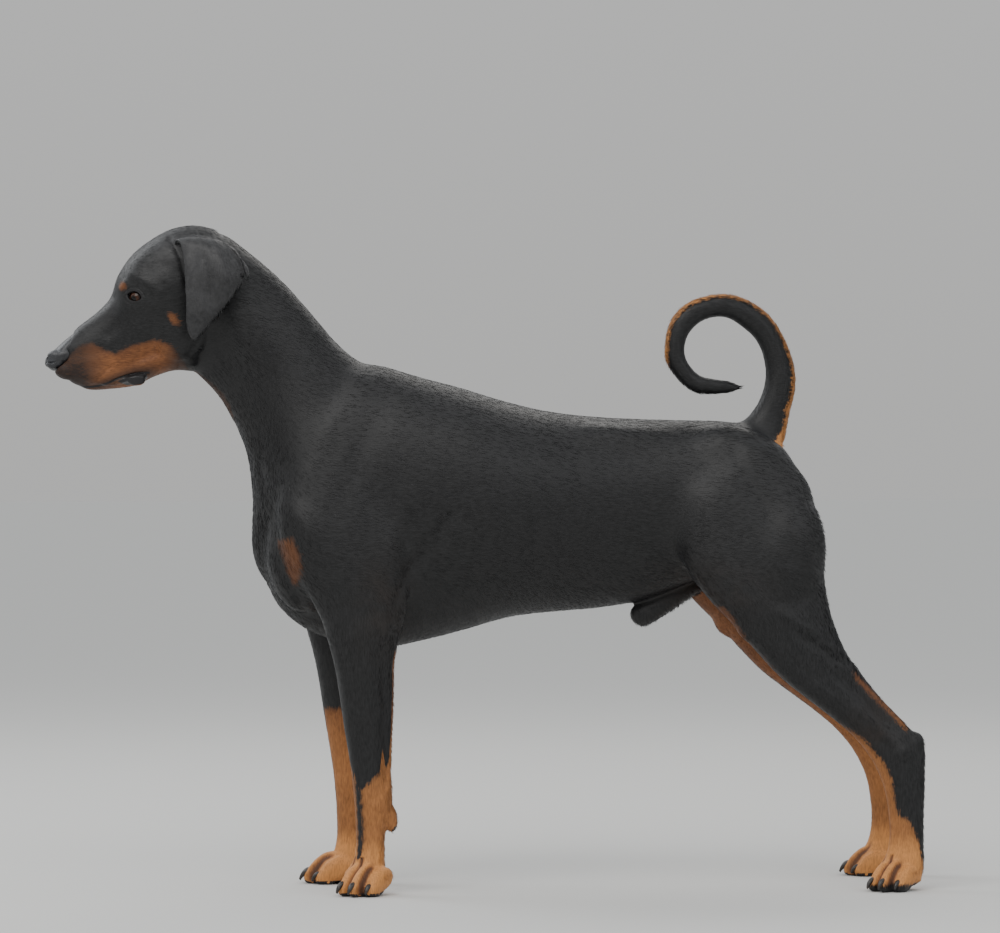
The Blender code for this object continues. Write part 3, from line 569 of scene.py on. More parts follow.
# %% Legs, paws and tail
def add_fore_leg(bm, side):
    step = FORE_STEP[side]
    loft(bm, SHOULDER, side)
    loft(bm, stepped(FOREARM, step, 340, 480), side)
    # Triceps, upper arm, point of the elbow and the outer muscle of the forearm
    ball(bm, (-150, 92, 440), (32, 27, 80), -6, side)
    ball(bm, (-232, 88, 455), (28, 30, 70), -30, side)
    ball(bm, (-137 + step * 0.8, 90, 354), (15, 15, 22), 4, side)
    ball(bm, (-186 + step, 94, 296), (22, 19, 62), -6, side)
    # Carpus, and the stopper pad behind it
    ball(bm, (-160 + step, 80, 118), (24, 22, 22), 0, side)
    ball(bm, (-136 + step, 82, 100), (10, 9, 21), -8, side)


def add_hind_leg(bm, side):
    step = HIND_STEP[side]
    loft(bm, stepped(THIGH, step, 120, 420), side)
    # Buttock, front and outer thigh, kneecap and calf
    ball(bm, (374, 60, 506), (54, 46, 60), 10, side)
    ball(bm, (294, 76, 469), (48, 36, 84), -4, side)
    ball(bm, (380, 88, 429), (58, 42, 96), 12, side)
    ball(bm, (334 + step * 0.2, 97, 348), (18, 19, 28), -32, side)
    ball(bm, (409 + step * 0.4, 102, 298), (32, 20, 62), -52, side)
    # Point of the hock and the ankle bones
    ball(bm, (552 + step * 0.8, 98, 189), (17, 13, 20), 20, side)
    ball(bm, (533 + step * 0.8, 99, 179), (22, 21, 22), 20, side)


def add_paw(bm, paw):
    """Four arched toes, their pads and the large middle pad."""
    for toe in toe_places(paw):
        loft(bm, TOE, place=toe, sides=24, square=0.9, dome=0.75)
        ball(bm, (-46, 0, 4), (13, 9.5, 7), place=toe)
    ball(bm, (-4, 0, 8), (18, 22, 11), place=paw)


def add_all_flesh(bm):
    add_trunk(bm)
    add_head(bm)
    loft(bm, TAIL, sides=32)
    for side in (LEFT, RIGHT):
        add_fore_leg(bm, side)
        add_hind_leg(bm, side)
        add_paw(bm, fore_paw_place(side))
        add_paw(bm, hind_paw_place(side))


# %% [markdown]
# ## One skin
# `REMESH` in voxel mode joins the volumes on a 2 mm grid. A Smooth modifier with a vertex group evens the
# form: over 17 mm on the trunk, where skin lies over thick muscle, but only 2 to 4 mm on head and paws,
# where bone lies close. The trunk is then thinned, and a weight of 0 keeps head and paws as fine as they
# were made.

# %% Helpers for objects and modifiers
SKIN_GRID = 2.0
WEIGHT_STEPS = 64


def new_object(name, bm):
    """An object from closed surfaces, with all their faces turned outwards."""
    bmesh.ops.recalc_face_normals(bm, faces=bm.faces)
    mesh = bpy.data.meshes.new(name)
    bm.to_mesh(mesh)
    bm.free()
    return into_scene(name, mesh)


def triangles_of(obj):
    return sum(len(face.vertices) - 2 for face in obj.data.polygons)


def apply_modifiers(obj):
    graph = bpy.context.evaluated_depsgraph_get()
    mesh = bpy.data.meshes.new_from_object(obj.evaluated_get(graph))
    obj.modifiers.clear()
    obj.data = mesh


def points_of(mesh):
    """The places and normals of all vertices, as arrays."""
    places = np.empty(len(mesh.vertices) * 3, np.float32)
    mesh.vertices.foreach_get("co", places)
    normals = np.empty(len(mesh.vertices) * 3, np.float32)
    mesh.vertex_normals.foreach_get("vector", normals)
    return places.reshape(-1, 3).astype(float), normals.reshape(-1, 3).astype(float)


def set_points(mesh, places):
    mesh.vertices.foreach_set("co", places.astype(np.float32).ravel())
    mesh.update()


def set_weights(obj, name, weights):
    """A vertex group with a weight for each vertex, in even steps."""
    group = obj.vertex_groups.new(name=name)
    level = np.round(weights * WEIGHT_STEPS).astype(int)
    for value in np.unique(level):
        group.add(np.nonzero(level == value)[0].tolist(), value / WEIGHT_STEPS, "REPLACE")


# %% How soft each region is, and which ones stay fine
def skin_softness(p):
    """The radius over which the form is evened out, for points in millimetres."""
    x, y, z = p.T
    radius = 4 + 13 * share(z, 340, 440)
    croup = 17 - 14 * share(z, 620, 650)
    radius = np.where((x > 225) & (z > 620), croup, radius)
    nape = 17 - 12 * share(-x, 250, 345)
    radius = np.where((z > 620) & (x < -200), nape, radius)
    flank = bell((x - 240, 45), (z - 490, 75)) * (np.abs(y) > 40)
    radius = radius * (1 - flank) + 25 * flank
    hip = bell((x - 345, 80), (z - 515, 65)) * (np.abs(y) > 30)
    radius = radius * (1 - hip) + 27 * hip
    radius = np.where((np.abs(y) < 34) & (x > 185) & (z < 455), np.minimum(radius, 5.0), radius)
    head = 3.4 + 1.6 * share(x, -440, -370)
    into_head = smooth_share(-x, 345, 385) * (z > 640)
    radius = radius * (1 - into_head) + head * into_head
    return 1.6 + (radius - 1.6) * share(z, 50, 90)


def stays_fine(p):
    """Above 0 where the mesh may be thinned."""
    x, y, z = p.T
    head = (x < -392) & (z > 640)
    return np.where(head | (z < 62), 0.0, 1.0)


# %% Join, smooth and thin
SOFTEN_FACTOR = 0.6


def make_skin():
    bm = bmesh.new()
    add_all_flesh(bm)
    skin = new_object("skin", bm)
    grid = skin.modifiers.new("join", "REMESH")
    grid.mode = "VOXEL"
    grid.voxel_size = SKIN_GRID
    apply_modifiers(skin)
    radii = skin_softness(points_of(skin.data)[0])
    widest = radii.max()
    set_weights(skin, "soft", (radii / widest) ** 2)
    soften = skin.modifiers.new("soften", "SMOOTH")
    soften.factor = SOFTEN_FACTOR
    soften.iterations = math.ceil(2 * widest**2 / (soften.factor * SKIN_GRID**2))
    soften.vertex_group = "soft"
    apply_modifiers(skin)
    skin.vertex_groups.clear()
    return skin


SKIN_FACES = 150000


def thin_trunk(skin):
    """Makes the trunk and legs coarser, and leaves head and paws as they are."""
    set_weights(skin, "thin", stays_fine(points_of(skin.data)[0]))
    count = 2 * len(skin.data.polygons)
    thin = skin.modifiers.new("thin", "DECIMATE")
    thin.vertex_group = "thin"
    thin.ratio = SKIN_FACES / count
    apply_modifiers(skin)
    skin.vertex_groups.clear()


skin = make_skin()
print("joined skin", len(skin.data.polygons), "faces")
thin_trunk(skin)
print("thinned skin", triangles_of(skin), "triangles")

# %% [markdown]
# ## Drawing on the skin
# Markings and creases are drawn in side view as outlines and strokes in millimetres, which is how a breed
# plate shows them. For each vertex the distance to the outline is worked out, above 0 inside. A distance
# stays exact between vertices, where a painted colour would blur, so the shader can cut a sharp edge.


# %% Distances to outlines and strokes
def to_segment(x, z, start, end):
    """The distance of points to a straight line between two points, in side view."""
    (ax, az), (bx, bz) = start, end
    along = share(((x - ax) * (bx - ax) + (z - az) * (bz - az)) / ((bx - ax) ** 2 + (bz - az) ** 2), 0, 1)
    return np.hypot(x - ax - along * (bx - ax), z - az - along * (bz - az))


def inside_outline(outline, x, z):
    """The distance in millimetres to a closed outline, above 0 inside it."""
    nearest = np.full(len(x), 1e6)
    inside = np.zeros(len(x), bool)
    for start, end in zip(outline, outline[1:] + outline[:1]):
        nearest = np.minimum(nearest, to_segment(x, z, start, end))
        (ax, az), (bx, bz) = start, end
        if az != bz:
            crosses = (az > z) != (bz > z)
            inside ^= crosses & (x < (bx - ax) * (z - az) / (bz - az) + ax)
    return np.where(inside, nearest, -nearest)


def to_stroke(points, x, z):
    """The distance in millimetres to an open line through the points."""
    line = [tuple(row) for row in in_between(points, 4)]
    nearest = np.full(len(x), 1e6)
    for start, end in zip(line, line[1:]):
        nearest = np.minimum(nearest, to_segment(x, z, start, end))
    return nearest


def unstepped(p):
    """The X of each point as if both legs of a pair stood together."""
    x, y, z = p.T
    fore = x - np.where(y > 0, FORE_STEP[RIGHT], FORE_STEP[LEFT]) * (1 - share(z, 340, 480))
    hind = x - np.where(y > 0, HIND_STEP[RIGHT], HIND_STEP[LEFT]) * (1 - share(z, 120, 420))
    return np.where(x < 100, fore, hind)


# %% [markdown]
# ## Creases, tendons and folds
# What makes a smooth body look alive is where the skin dips between muscles: the breast against the
# shoulder, the groove before the Achilles tendon, the ribs, the throat. A sculptor draws them with one
# stroke. Here each stroke is a line in side view with a width and a depth, and moves the skin along its
# own normals on both sides of the dog. A depth below 0 raises a ridge.

# %% The strokes of the head
MOUTH_LINE = [
    (-567, 675), (-550, 665.5), (-530, 660), (-506, 663), (-486, 671.5), (-465, 677.5), (-447, 678.5),
]
# Each stroke: the line, its width, its depth, and the least distance from the middle plane
MUZZLE_STROKES = [
    (MOUTH_LINE, 1.3, 2.6, 6),
    ([(-492, 690), (-503, 681), (-514, 670)], 1.5, 1.0, 10),
    ([(-486, 667), (-468, 672), (-452, 673)], 3.0, -2.0, 10),
    ([(-548, 700), (-520, 704), (-490, 712)], 7.0, 1.0, 14),
    ([(-500, 728), (-484, 742), (-466, 752)], 8.0, 1.8, 18),
]
HEAD_STROKES = [
    ([(-452, 700), (-440, 724), (-446, 752)], 7.0, 1.0, 24),
    ([(-448, 812), (-430, 818), (-412, 812)], 12.0, 2.4, 26),
    ([(-498, 790), (-490, 775), (-492, 760)], 5.0, 0.8, 10),
    ([(-408, 690), (-392, 706), (-380, 730)], 5.0, 1.6, 14),
    ([(-398, 684), (-380, 700), (-368, 722)], 5.0, -1.2, 14),
    ([(-420, 853), (-411, 836), (-404, 816), (-400, 792)], 4.0, 2.2, 30),
    ([(-470, 806), (-452, 798), (-436, 784)], 6.0, -1.2, 20),
]

# %% The strokes of the neck, body and legs
BODY_STROKES = [
    ([(-362, 730), (-332, 664), (-300, 600), (-282, 560)], 10.0, 1.8, 26),
    ([(-307, 565), (-296, 526), (-286, 484), (-283, 446), (-268, 404), (-246, 366)], 6.0, 2.2, 34),
    ([(-176, 664), (-214, 610), (-250, 548)], 13.0, -2.2, 40),
    ([(-140, 640), (-176, 580), (-200, 520)], 15.0, 1.6, 60),
    ([(-62, 492), (-86, 454), (-114, 416), (-127, 382), (-124, 345)], 9.0, 5.5, 70),
    ([(-108, 520), (-130, 470), (-152, 420)], 13.0, -1.8, 70),
    ([(-216, 420), (-200, 385), (-190, 350)], 8.0, 1.4, 80),
    ([(96, 575), (118, 520), (150, 470), (190, 440)], 12.0, 1.6, 50),
    ([(240, 396), (214, 418), (186, 436)], 9.0, -1.8, 50),
    ([(318, 575), (352, 500), (384, 440), (404, 390)], 10.0, 1.8, 60),
    ([(372, 366), (410, 342), (447, 314)], 6.0, -2.2, 80),
    ([(396, 338), (425, 322), (450, 300)], 4.0, 1.8, 80),
    ([(408, 312), (436, 302), (464, 288)], 4.5, -1.8, 80),
    ([(386, 302), (416, 284), (444, 262)], 4.0, 1.6, 80),
    ([(452, 282), (486, 248), (520, 214)], 7.0, 4.2, 80),
    ([(470, 296), (505, 258), (540, 220)], 5.0, -2.2, 80),
    ([(418, 512), (425, 460), (428, 410)], 6.0, 2.0, 50),
    ([(498, 206), (516, 186), (520, 160)], 6.0, 1.2, 85),
    ([(545, 160), (548, 120), (548, 70)], 4.0, 1.2, 85),
    ([(-150, 320), (-144, 240), (-142, 150)], 6.0, 2.8, 70),
    ([(-190, 300), (-180, 220), (-172, 150)], 5.0, 2.0, 90),
    ([(-170, 300), (-160, 230), (-157, 160)], 5.0, -1.4, 90),
]
RIBS = [([(-70 + 32 * n, 560), (-52 + 34 * n, 490), (-62 + 38 * n, 420)], 9.0, 0.7, 60) for n in range(5)]


def press_strokes(skin, strokes):
    """Moves the skin in along each stroke, or out where its depth is below 0."""
    places, normals = points_of(skin.data)
    x = unstepped(places)
    y, z = np.abs(places[:, 1]), places[:, 2]
    faces_side = smooth_share(np.abs(normals[:, 1]), 0.08, 0.45)
    depth = np.zeros(len(places))
    for points, width, deep, least_y in strokes:
        reach = 3 * width
        low, high = np.min(points, axis=0) - reach, np.max(points, axis=0) + reach
        near = (x > low[0]) & (x < high[0]) & (z > low[1]) & (z < high[1]) & (y > least_y - 4)
        away = to_stroke(points, x[near], z[near])
        push = bell((away, width)) * smooth_share(y[near], least_y - 4, least_y + 4)
        depth[near] += deep * push * faces_side[near]
    set_points(skin.data, places - normals * depth[:, None])


# %% [markdown]
# ## The eye's own frame
# An eye is easiest to shape looking straight at it. Its frame has X towards the rear corner, Y out along
# the line of sight and Z up, so the almond between the lids is a plain curve in X and Z.

# %% Frame and almond of the eye
EYE_LOOK = (-0.55, 0.82, 0.12)
EYE_RADIUS = 12.0
LID = 1.7
LID_LONG = 10.6
LID_HIGH = 7.2
LID_TILT = 10.0


def look_frame(side):
    """The frame of an eye, in millimetres: X to the eye's rear corner, Y straight out, Z up."""
    out = Vector((EYE_LOOK[0], side * EYE_LOOK[1], EYE_LOOK[2])).normalized()
    along = out.cross(Vector((0, 0, 1))).normalized() * side
    up = along.cross(out) * side
    turn = Matrix((along, out, up)).transposed().to_4x4()
    tilt = Matrix.Rotation(math.radians(LID_TILT) * -side, 4, "Y")
    return Matrix.Translation((EYE[0], side * EYE[1], EYE[2])) @ turn @ tilt


def almond(count, grow=0.0):
    """Points of the opening between the lids, seen from the front of the eye."""
    made = []
    for angle in np.arange(count) / count * 2 * math.pi:
        along = math.cos(angle)
        lift = 1.0 if math.sin(angle) > 0 else 0.82
        high = math.copysign(LID_HIGH * lift * (1 - along**2) ** 0.7, math.sin(angle))
        made.append((along * (LID_LONG + grow), high + math.copysign(grow, high) * (1 - along**2) ** 0.5))
    return made


# %% Shape the lids into the skin
def in_frame(place, points):
    """The points in another frame, as an array."""
    back = np.array(place.inverted())
    return points @ back[:3, :3].T + back[:3, 3]


def out_of_frame(place, points):
    turn = np.array(place)
    return points @ turn[:3, :3].T + turn[:3, 3]


def refine(skin, chosen):
    """Divides every face whose corners all pass the test in four."""
    bm = bmesh.new()
    bm.from_mesh(skin.data)
    good = chosen(points_of(skin.data)[0])
    edges = [e for e in bm.edges if good[e.verts[0].index] and good[e.verts[1].index]]
    bmesh.ops.subdivide_edges(bm, edges=edges, cuts=1, use_grid_fill=True)
    bmesh.ops.triangulate(bm, faces=[f for f in bm.faces if len(f.verts) > 4])
    bm.to_mesh(skin.data)
    bm.free()


def near_eye(reach):
    def chosen(p):
        near = np.zeros(len(p), bool)
        for side in (LEFT, RIGHT):
            local = in_frame(look_frame(side), p)
            near |= (np.hypot(local[:, 0], local[:, 2]) < reach) & (local[:, 1] > 0)
        return near
    return chosen


def near_mouth(p):
    away = to_stroke(MOUTH_LINE, p[:, 0], p[:, 2])
    return (away < 5.0) & (p[:, 0] < -438)


def soft_max(a, b, blend):
    """The larger of two heights, with a round valley where they meet."""
    t = share(0.5 + 0.5 * (a - b) / blend, 0, 1)
    return b * (1 - t) + a * t + blend * t * (1 - t)


def shape_lids(skin):
    """Lays lids over each eyeball and opens the almond between them."""
    places, normals = points_of(skin.data)
    for side in (LEFT, RIGHT):
        local = in_frame(look_frame(side), places)
        along, out, up = local.T
        near = (np.hypot(along, up) < 26) & (out > -2)
        s, o, u = along[near], out[near], up[near]
        inside = inside_outline(almond(40), s, u)
        wide = np.hypot(s, u)
        lid_ball = np.sqrt(np.maximum((EYE_RADIUS + LID) ** 2 - wide**2, 0.0))
        hold = bell((np.maximum(-inside, 0), 4.2)) * smooth_share(-wide, -15, -10)
        over = o * (1 - hold) + soft_max(lid_ball, o - 0.5, 3.0) * hold
        # The fold above the upper lid, and the pouch under the lower one
        above = bell((-inside - 4.6, 1.1)) * smooth_share(u, 1, 4)
        under = bell((-inside - 4.2, 1.3)) * smooth_share(-u, 1, 4)
        over -= 0.6 * above + 0.3 * under
        behind = np.sqrt(np.maximum((EYE_RADIUS - 2.5) ** 2 - wide**2, 0.0))
        opened = smooth_share(inside, -0.1, 0.5)
        local[near, 1] = over * (1 - opened) + behind * opened
        places = out_of_frame(look_frame(side), local)
    set_points(skin.data, places)


COAT_DEPTH = 1.0
FLOOR_CLEAR = 0.4
TUFT_CLEAR = 0.2


def sink(skin):
    """Lays the skin inside the solids by the depth of the coat, and keeps it above the floor."""
    places, normals = points_of(skin.data)
    places -= normals * COAT_DEPTH * smooth_share(places[:, 2], 20, 60)[:, None]
    places[:, 2] = np.maximum(places[:, 2], FLOOR_CLEAR)
    set_points(skin.data, places)


sink(skin)
press_strokes(skin, HEAD_STROKES + BODY_STROKES + RIBS)
for chosen in (near_mouth, near_eye(24), near_eye(15)):
    refine(skin, chosen)
press_strokes(skin, MUZZLE_STROKES)
shape_lids(skin)
print("skin with lids", triangles_of(skin), "triangles")

# %% [markdown]
# ## The markings
# Black and rust: the rust sits on muzzle and jaw, over each eye, on the cheeks, as two patches on the
# chest, on the legs up their inner sides, and under the tail. Each patch gives a distance, and the widest
# of them wins. On a leg the height of the edge changes with the way the skin faces.

# %% Outlines of the rust
MUZZLE = [
    (-575, 690), (-550, 702), (-538, 714), (-522, 719), (-508, 710), (-491, 704), (-472, 714), (-441, 722),
    (-420, 716), (-410, 702), (-396, 686), (-384, 668), (-392, 650), (-470, 640), (-590, 640),
]
HIND_LINE = [
    (236, 430), (257, 410), (287, 386), (310, 362), (333, 326), (360, 297), (387, 268), (416, 241),
    (450, 221), (483, 201), (510, 171), (523, 145), (526, 118), (530, 99), (546, 92), (556, 66), (565, 26),
    (568, 10), (200, 10), (200, 430),
]
CHEST_PATCH = [(-284, 462), (-266, 466), (-255, 440), (-253, 416), (-260, 398), (-270, 416)]
# The half width of the rust under the tail at some heights
BREECH_HEIGHTS = [480, 505, 530, 552, 572, 586, 602]
BREECH_HALVES = [8, 13, 28, 48, 52, 27, 13]
HOCK_REAR = [(472, 284), (489, 266), (509, 246), (530, 226), (541, 213)]
EDGE_MAX = 30.0


# %% Distance into the rust of each region
def only_where(here, inside):
    """The distance where a patch may be, and far outside it everywhere else."""
    return np.where(here, inside, -EDGE_MAX)


def head_rust(x, y, z, n):
    muzzle = inside_outline(MUZZLE, x, z)
    brow = 10.5 * (1 - np.sqrt(((x + 481) / 6.5) ** 2 + ((y - 31) / 12) ** 2 + ((z - 791) / 7) ** 2))
    across, along = (x + 417) * 0.8 + (z - 748) * 0.6, (x + 417) * 0.6 - (z - 748) * 0.8
    cheek = 9.5 * (1 - np.hypot(across / 5.5, along / 11)) - 30 * (y < 20)
    throat = np.minimum(14 - 0.9 * y - 10 * share(z, 655, 690), 6 + 12 * -n[:, 2] - 0.1 * np.abs(x + 400))
    throat = only_where((x < -335) & (z > 600), throat)
    return only_where(x < -330, np.maximum.reduce([muzzle, brow, cheek, throat]))


def chest_rust(x, y, z, n):
    return only_where((y > 30) & (x < -200) & (z > 380), inside_outline(CHEST_PATCH, x, z))


def paw_side(x, y, n, turn, middle):
    """How far a point is across a leg's own front, and how far it faces forwards."""
    ahead = np.stack([-np.cos(turn), np.sin(turn)])
    across = (x - middle[0]) * ahead[1] - (y - middle[1]) * ahead[0]
    return across, n[:, 0] * ahead[0] + n[:, 1] * ahead[1]


def fore_rust(x, y, z, n, side_sign):
    """Rust on the inner side up to 235, an outer edge that dips to a point, and a thin front stripe."""
    out = smooth_share(n[:, 1], -0.35, 0.25)
    outer_edge = 138 + 0.9 * np.abs(x + 176) + 14 * share(-n[:, 0], 0.3, 1.0)
    edge = 235 * (1 - out) + outer_edge * out
    rear = smooth_share(n[:, 0], 0.5, 0.8) * (1 - smooth_share(n[:, 1], 0.45, 0.8))
    edge = edge * (1 - rear) + 325 * rear
    level = edge - z
    turn = np.radians(np.where(side_sign > 0, FORE_TOE_OUT[RIGHT], FORE_TOE_OUT[LEFT]))
    across, ahead = paw_side(x, y, n, turn * 0.6, (-160, 81))
    stripe = np.abs(across - 2) - 4.2 + 14 * share(48 - z, 0, 8) + 40 * (ahead < 0.1)
    stripe = np.where(z < 150, stripe, EDGE_MAX)
    return only_where((x < 0) & (z < 345), np.minimum(level, stripe))


def hind_rust(x, y, z, n):
    """Rust before a line down the leg on its outer side, and on all of its inner side."""
    outer = inside_outline(HIND_LINE, x, z)
    inner = np.minimum(22.0, 415 - z) - 12 * share(n[:, 0], 0.6, 1.0)
    inner = np.where((y < 44) & (z > 300), -EDGE_MAX, inner)
    out = smooth_share(n[:, 1], -0.45, 0.0)
    leg = np.clip(inner, -22, 22) * (1 - out) + np.clip(outer, -22, 22) * out
    leg = leg - 40 * smooth_share(z, 372, 392) * smooth_share(n[:, 1], -0.3, 0.1)
    leg = np.where((y < 44) & (z > 300), -EDGE_MAX, leg)
    rear_edge = 3.8 - to_stroke(HOCK_REAR, x, z)
    leg = np.maximum(leg, only_where((z > 205) & (n[:, 0] > 0.1), rear_edge))
    rear_strip = 7 - np.abs(y - 101) - 6 * share(34 - z, 0, 10)
    black = np.where((n[:, 0] > 0.5) & (z < 100) & (z > 25) & (x > 545), -rear_strip, EDGE_MAX)
    return only_where((x > 150) & (z < 450), np.minimum(leg, black))


# %% The underside of the tail, and all regions together
TAIL_LINE = np.array([[(r[0] + r[2]) / 2, r[4], (r[1] + r[3]) / 2] for r in in_between(TAIL, 4)])
TAIL_OUT = unit(np.array([[r[0] - r[2], 0.0, r[1] - r[3]] for r in in_between(TAIL, 4)]))
TAIL_WAY = unit(np.gradient(TAIL_LINE, axis=0))


def on_tail(p):
    """For each point the nearest row of the tail, and its distance from it."""
    nearest = np.full(len(p), 1e6)
    row = np.zeros(len(p), int)
    for number, middle in enumerate(TAIL_LINE):
        away = np.linalg.norm(p - middle, axis=1)
        closer = away < nearest
        nearest[closer] = away[closer]
        row[closer] = number
    return row, nearest


def tail_rust(p, n):
    """Rust on the outer side of the curl, which is the tail's underside, and down to the breech."""
    x, y, z = p.T
    row, away = on_tail(p)
    facing = dots(n, TAIL_OUT[row])
    along = row / len(TAIL_LINE)
    tail = (facing - 0.62 - 0.14 * share(along, 0.1, 0.3) - 0.5 * share(along, 0.66, 0.74)) * 16
    tail = np.where(z < 690, np.minimum(tail, 12 - np.abs(y)), tail)
    tail = only_where((away < 44) & (z > 575) & (x > 225), tail)
    half = np.interp(z, BREECH_HEIGHTS, BREECH_HALVES)
    breech = np.minimum(half - np.abs(y), 40 * (n[:, 0] - 0.15))
    return np.maximum(tail, only_where((x > 330) & (z > 430) & (z < 640), breech))


def rust_of(p, n):
    """How far each point lies inside the rust, in millimetres, at most 30 either way."""
    x, z = unstepped(p), p[:, 2]
    y = np.abs(p[:, 1])
    outward = n * np.stack([np.ones(len(p)), np.sign(p[:, 1]), np.ones(len(p))], axis=1)
    found = [
        head_rust(x, y, z, outward), chest_rust(x, y, z, outward),
        fore_rust(x, y, z, outward, p[:, 1]), hind_rust(x, y, z, outward), tail_rust(p, n),
    ]
    return np.clip(np.maximum.reduce(found), -EDGE_MAX, EDGE_MAX)


# %% Bare skin: lips, lid rims, pads
LIP_PATCH = [(-488, 667), (-480, 672), (-464, 677.5), (-450, 678), (-448, 672), (-455, 664), (-472, 661)]


def bare_of(p, n):
    """Above 0 where the skin is bare and black, in millimetres."""
    x, y, z = p[:, 0], np.abs(p[:, 1]), p[:, 2]
    lip = only_where((x < -430) & (z > 640), inside_outline(LIP_PATCH, x, z) - 2 * (y < 12))
    line = only_where((x < -440) & (z > 640) & (z < 690), 1.4 - to_stroke(MOUTH_LINE, x, z))
    rims = np.full(len(p), -EDGE_MAX)
    for side in (LEFT, RIGHT):
        local = in_frame(look_frame(side), p)
        near = (np.hypot(local[:, 0], local[:, 2]) < 20) & (local[:, 1] > 0)
        inside = inside_outline(almond(40), local[near, 0], local[near, 2])
        rims[near] = np.maximum(rims[near], inside + 1.9)
    pads = only_where((z < 60) & (n[:, 2] < -0.2), 5 - z)
    stopper = np.minimum(7.5 - np.hypot(unstepped(p) + 127, z - 82), 15 - np.abs(y - 82))
    pads = np.maximum(pads, only_where(z > 70, stopper))
    muzzle_end = 4 - np.hypot(x + 566, z - 690) * 0.25 - 0.5 * y
    muzzle_end = only_where((x < -520) & (z > 640), muzzle_end)
    return np.clip(np.maximum.reduce([lip, line, rims, pads, muzzle_end]), -EDGE_MAX, EDGE_MAX)


# The fold between two toes: its place across the paw, and how far it runs outwards for each step ahead
TOE_FOLDS = [(0.0, 0.0), (15.1, 0.105), (-15.1, -0.105)]


def between_toes(p):
    """1 in the folds between the toes, and 0 away from them."""
    fold = np.zeros(len(p))
    for paw in all_paws():
        x, y, z = in_frame(paw, p).T
        near = smooth_share(-x, 14, 28) * (x > -72) * (np.abs(y) < 32) * (z < 60)
        for across, outwards in TOE_FOLDS:
            fold = np.maximum(fold, near * bell((y - across + outwards * x, 2.6)))
    return fold


def tone_of(p, n):
    """How much paler (above 0) or darker (below 0) the rust is; chest patch and toe folds get painted shade.
    """
    x, y, z = unstepped(p), np.abs(p[:, 1]), p[:, 2]
    fold = between_toes(p)
    paws = smooth_share(-z, -95, -45) * (1 - fold)
    shank = 0.35 * smooth_share(-z, -260, -180)
    tail = 0.9 * ((z > 575) & (x > 225))
    head = (x < -330) & (z > 600)
    mouth = to_stroke(MOUTH_LINE, x, z)
    nose_end = smooth_share(-x, 492, 540) * (0.75 + 0.25 * smooth_share(-z, -705, -672))
    smoke = np.maximum(nose_end, 0.75 * bell((mouth, 9)))
    smoke = np.maximum(smoke, 0.8 * smooth_share(x, -436, -404))
    smoke = np.where(z > 735, 0.12, smoke)
    # Painted shade: the chest patch and the folds between the toes are made darker.
    chest = 0.35 * ((x > -330) & (x < -200) & (z > 380))
    return np.where(head, -smoke, np.maximum.reduce([paws, shank, tail]) - chest - 0.9 * fold)


def warm_of(p, n):
    """How brown the black coat is at each point, from 0 to 1."""
    x, y, z = unstepped(p), np.abs(p[:, 1]), p[:, 2]
    elbow = bell((x + 150, 30), (z - 375, 55))
    hock = bell((x - 500, 30), (z - 215, 34))
    groin = bell((x - 280, 60), (z - 395, 30))
    return np.clip(0.55 * elbow + 0.7 * hock + 0.5 * groin, 0, 1)


# Painted sheen: the black is made paler where light catches the ears and the top of the skull.
def painted_sheen_of(p, n):
    """How much painted sheen lightens the black hair, from 0 to 1: on the ears and the top of the skull."""
    x, y, z = p[:, 0], np.abs(p[:, 1]), p[:, 2]
    ear = smooth_share(y, 58.5, 63) * (x < -315) * (z > 714)
    skull = smooth_share(z, 795, 850) * smooth_share(-x, 320, 370)
    return np.maximum(0.9 * ear, 0.8 * skull)


# %% [markdown]
# ## The lie of the coat
# Hair runs from the nose backwards, down the neck, back along the body and down each leg. The fur bump
# is a noise stretched along that lie. One number, `down`, says for each vertex whether the hair runs
# along the body (0) or down (1), and the shader blends the two stretched noises by it.


# %% Which way the hair lies
def down_of(p, n):
    """How far the hair runs down rather than along the body, from 0 to 1."""
    x, y, z = p.T
    leg = 1 - smooth_share(z, 330, 450)
    neck = smooth_share(-x, 200, 300) * smooth_share(-z, -800, -560) * (x > -400) * 0.8
    return np.clip(np.maximum(leg, neck), 0, 1)


def rearwards(y, out, rise):
    """A direction to the tail for each point, tilted outwards and upwards."""
    return np.stack([np.ones(len(y)), out * np.sign(y), np.full(len(y), rise)], axis=1)


def lie_of(p, n):
    """The direction of the hair at each point, along the surface."""
    x, y, z = p.T
    down = down_of(p, n)[:, None]
    head = (smooth_share(-x, 370, 420) * (z > 640))[:, None]
    ways = rearwards(y, 0.05, -0.28) * (1 - head) + rearwards(y, 0.2, 0.25) * head
    ways = ways * (1 - down) + np.array([0.06, 0.0, -1.0]) * down
    row, away = on_tail(p)
    tail = ((away < 40) & (z > 585) & (x > 225))[:, None]
    ways = np.where(tail, TAIL_WAY[row], ways)
    return unit(ways - n * dots(ways, n)[:, None])


# %% Every marking by its name, and the folds between the toes
MARKS = {
    "rust": rust_of, "bare": bare_of, "down": down_of, "tone": tone_of, "warm": warm_of, "painted_sheen": painted_sheen_of,
}


def set_value(mesh, name, values):
    """A number for each vertex, which the shader reads by its name."""
    layer = mesh.attributes.new(name, "FLOAT", "POINT")
    layer.data.foreach_set("value", values.astype(np.float32))


def value_at(mesh, name):
    stored = np.empty(len(mesh.vertices), np.float32)
    mesh.attributes[name].data.foreach_get("value", stored)
    return stored


def mark(obj):
    """Stores the markings on a piece."""
    places, normals = points_of(obj.data)
    for name, find in MARKS.items():
        set_value(obj.data, name, find(places, normals))


def press_toe_folds(skin):
    places, normals = points_of(skin.data)
    set_points(skin.data, places - normals * (1.8 * between_toes(places))[:, None])


press_toe_folds(skin)
mark(skin)
rust_share = (value_at(skin.data, "rust") > 0).mean()
print("share of the skin's corners that are rust", round(float(rust_share), 3))

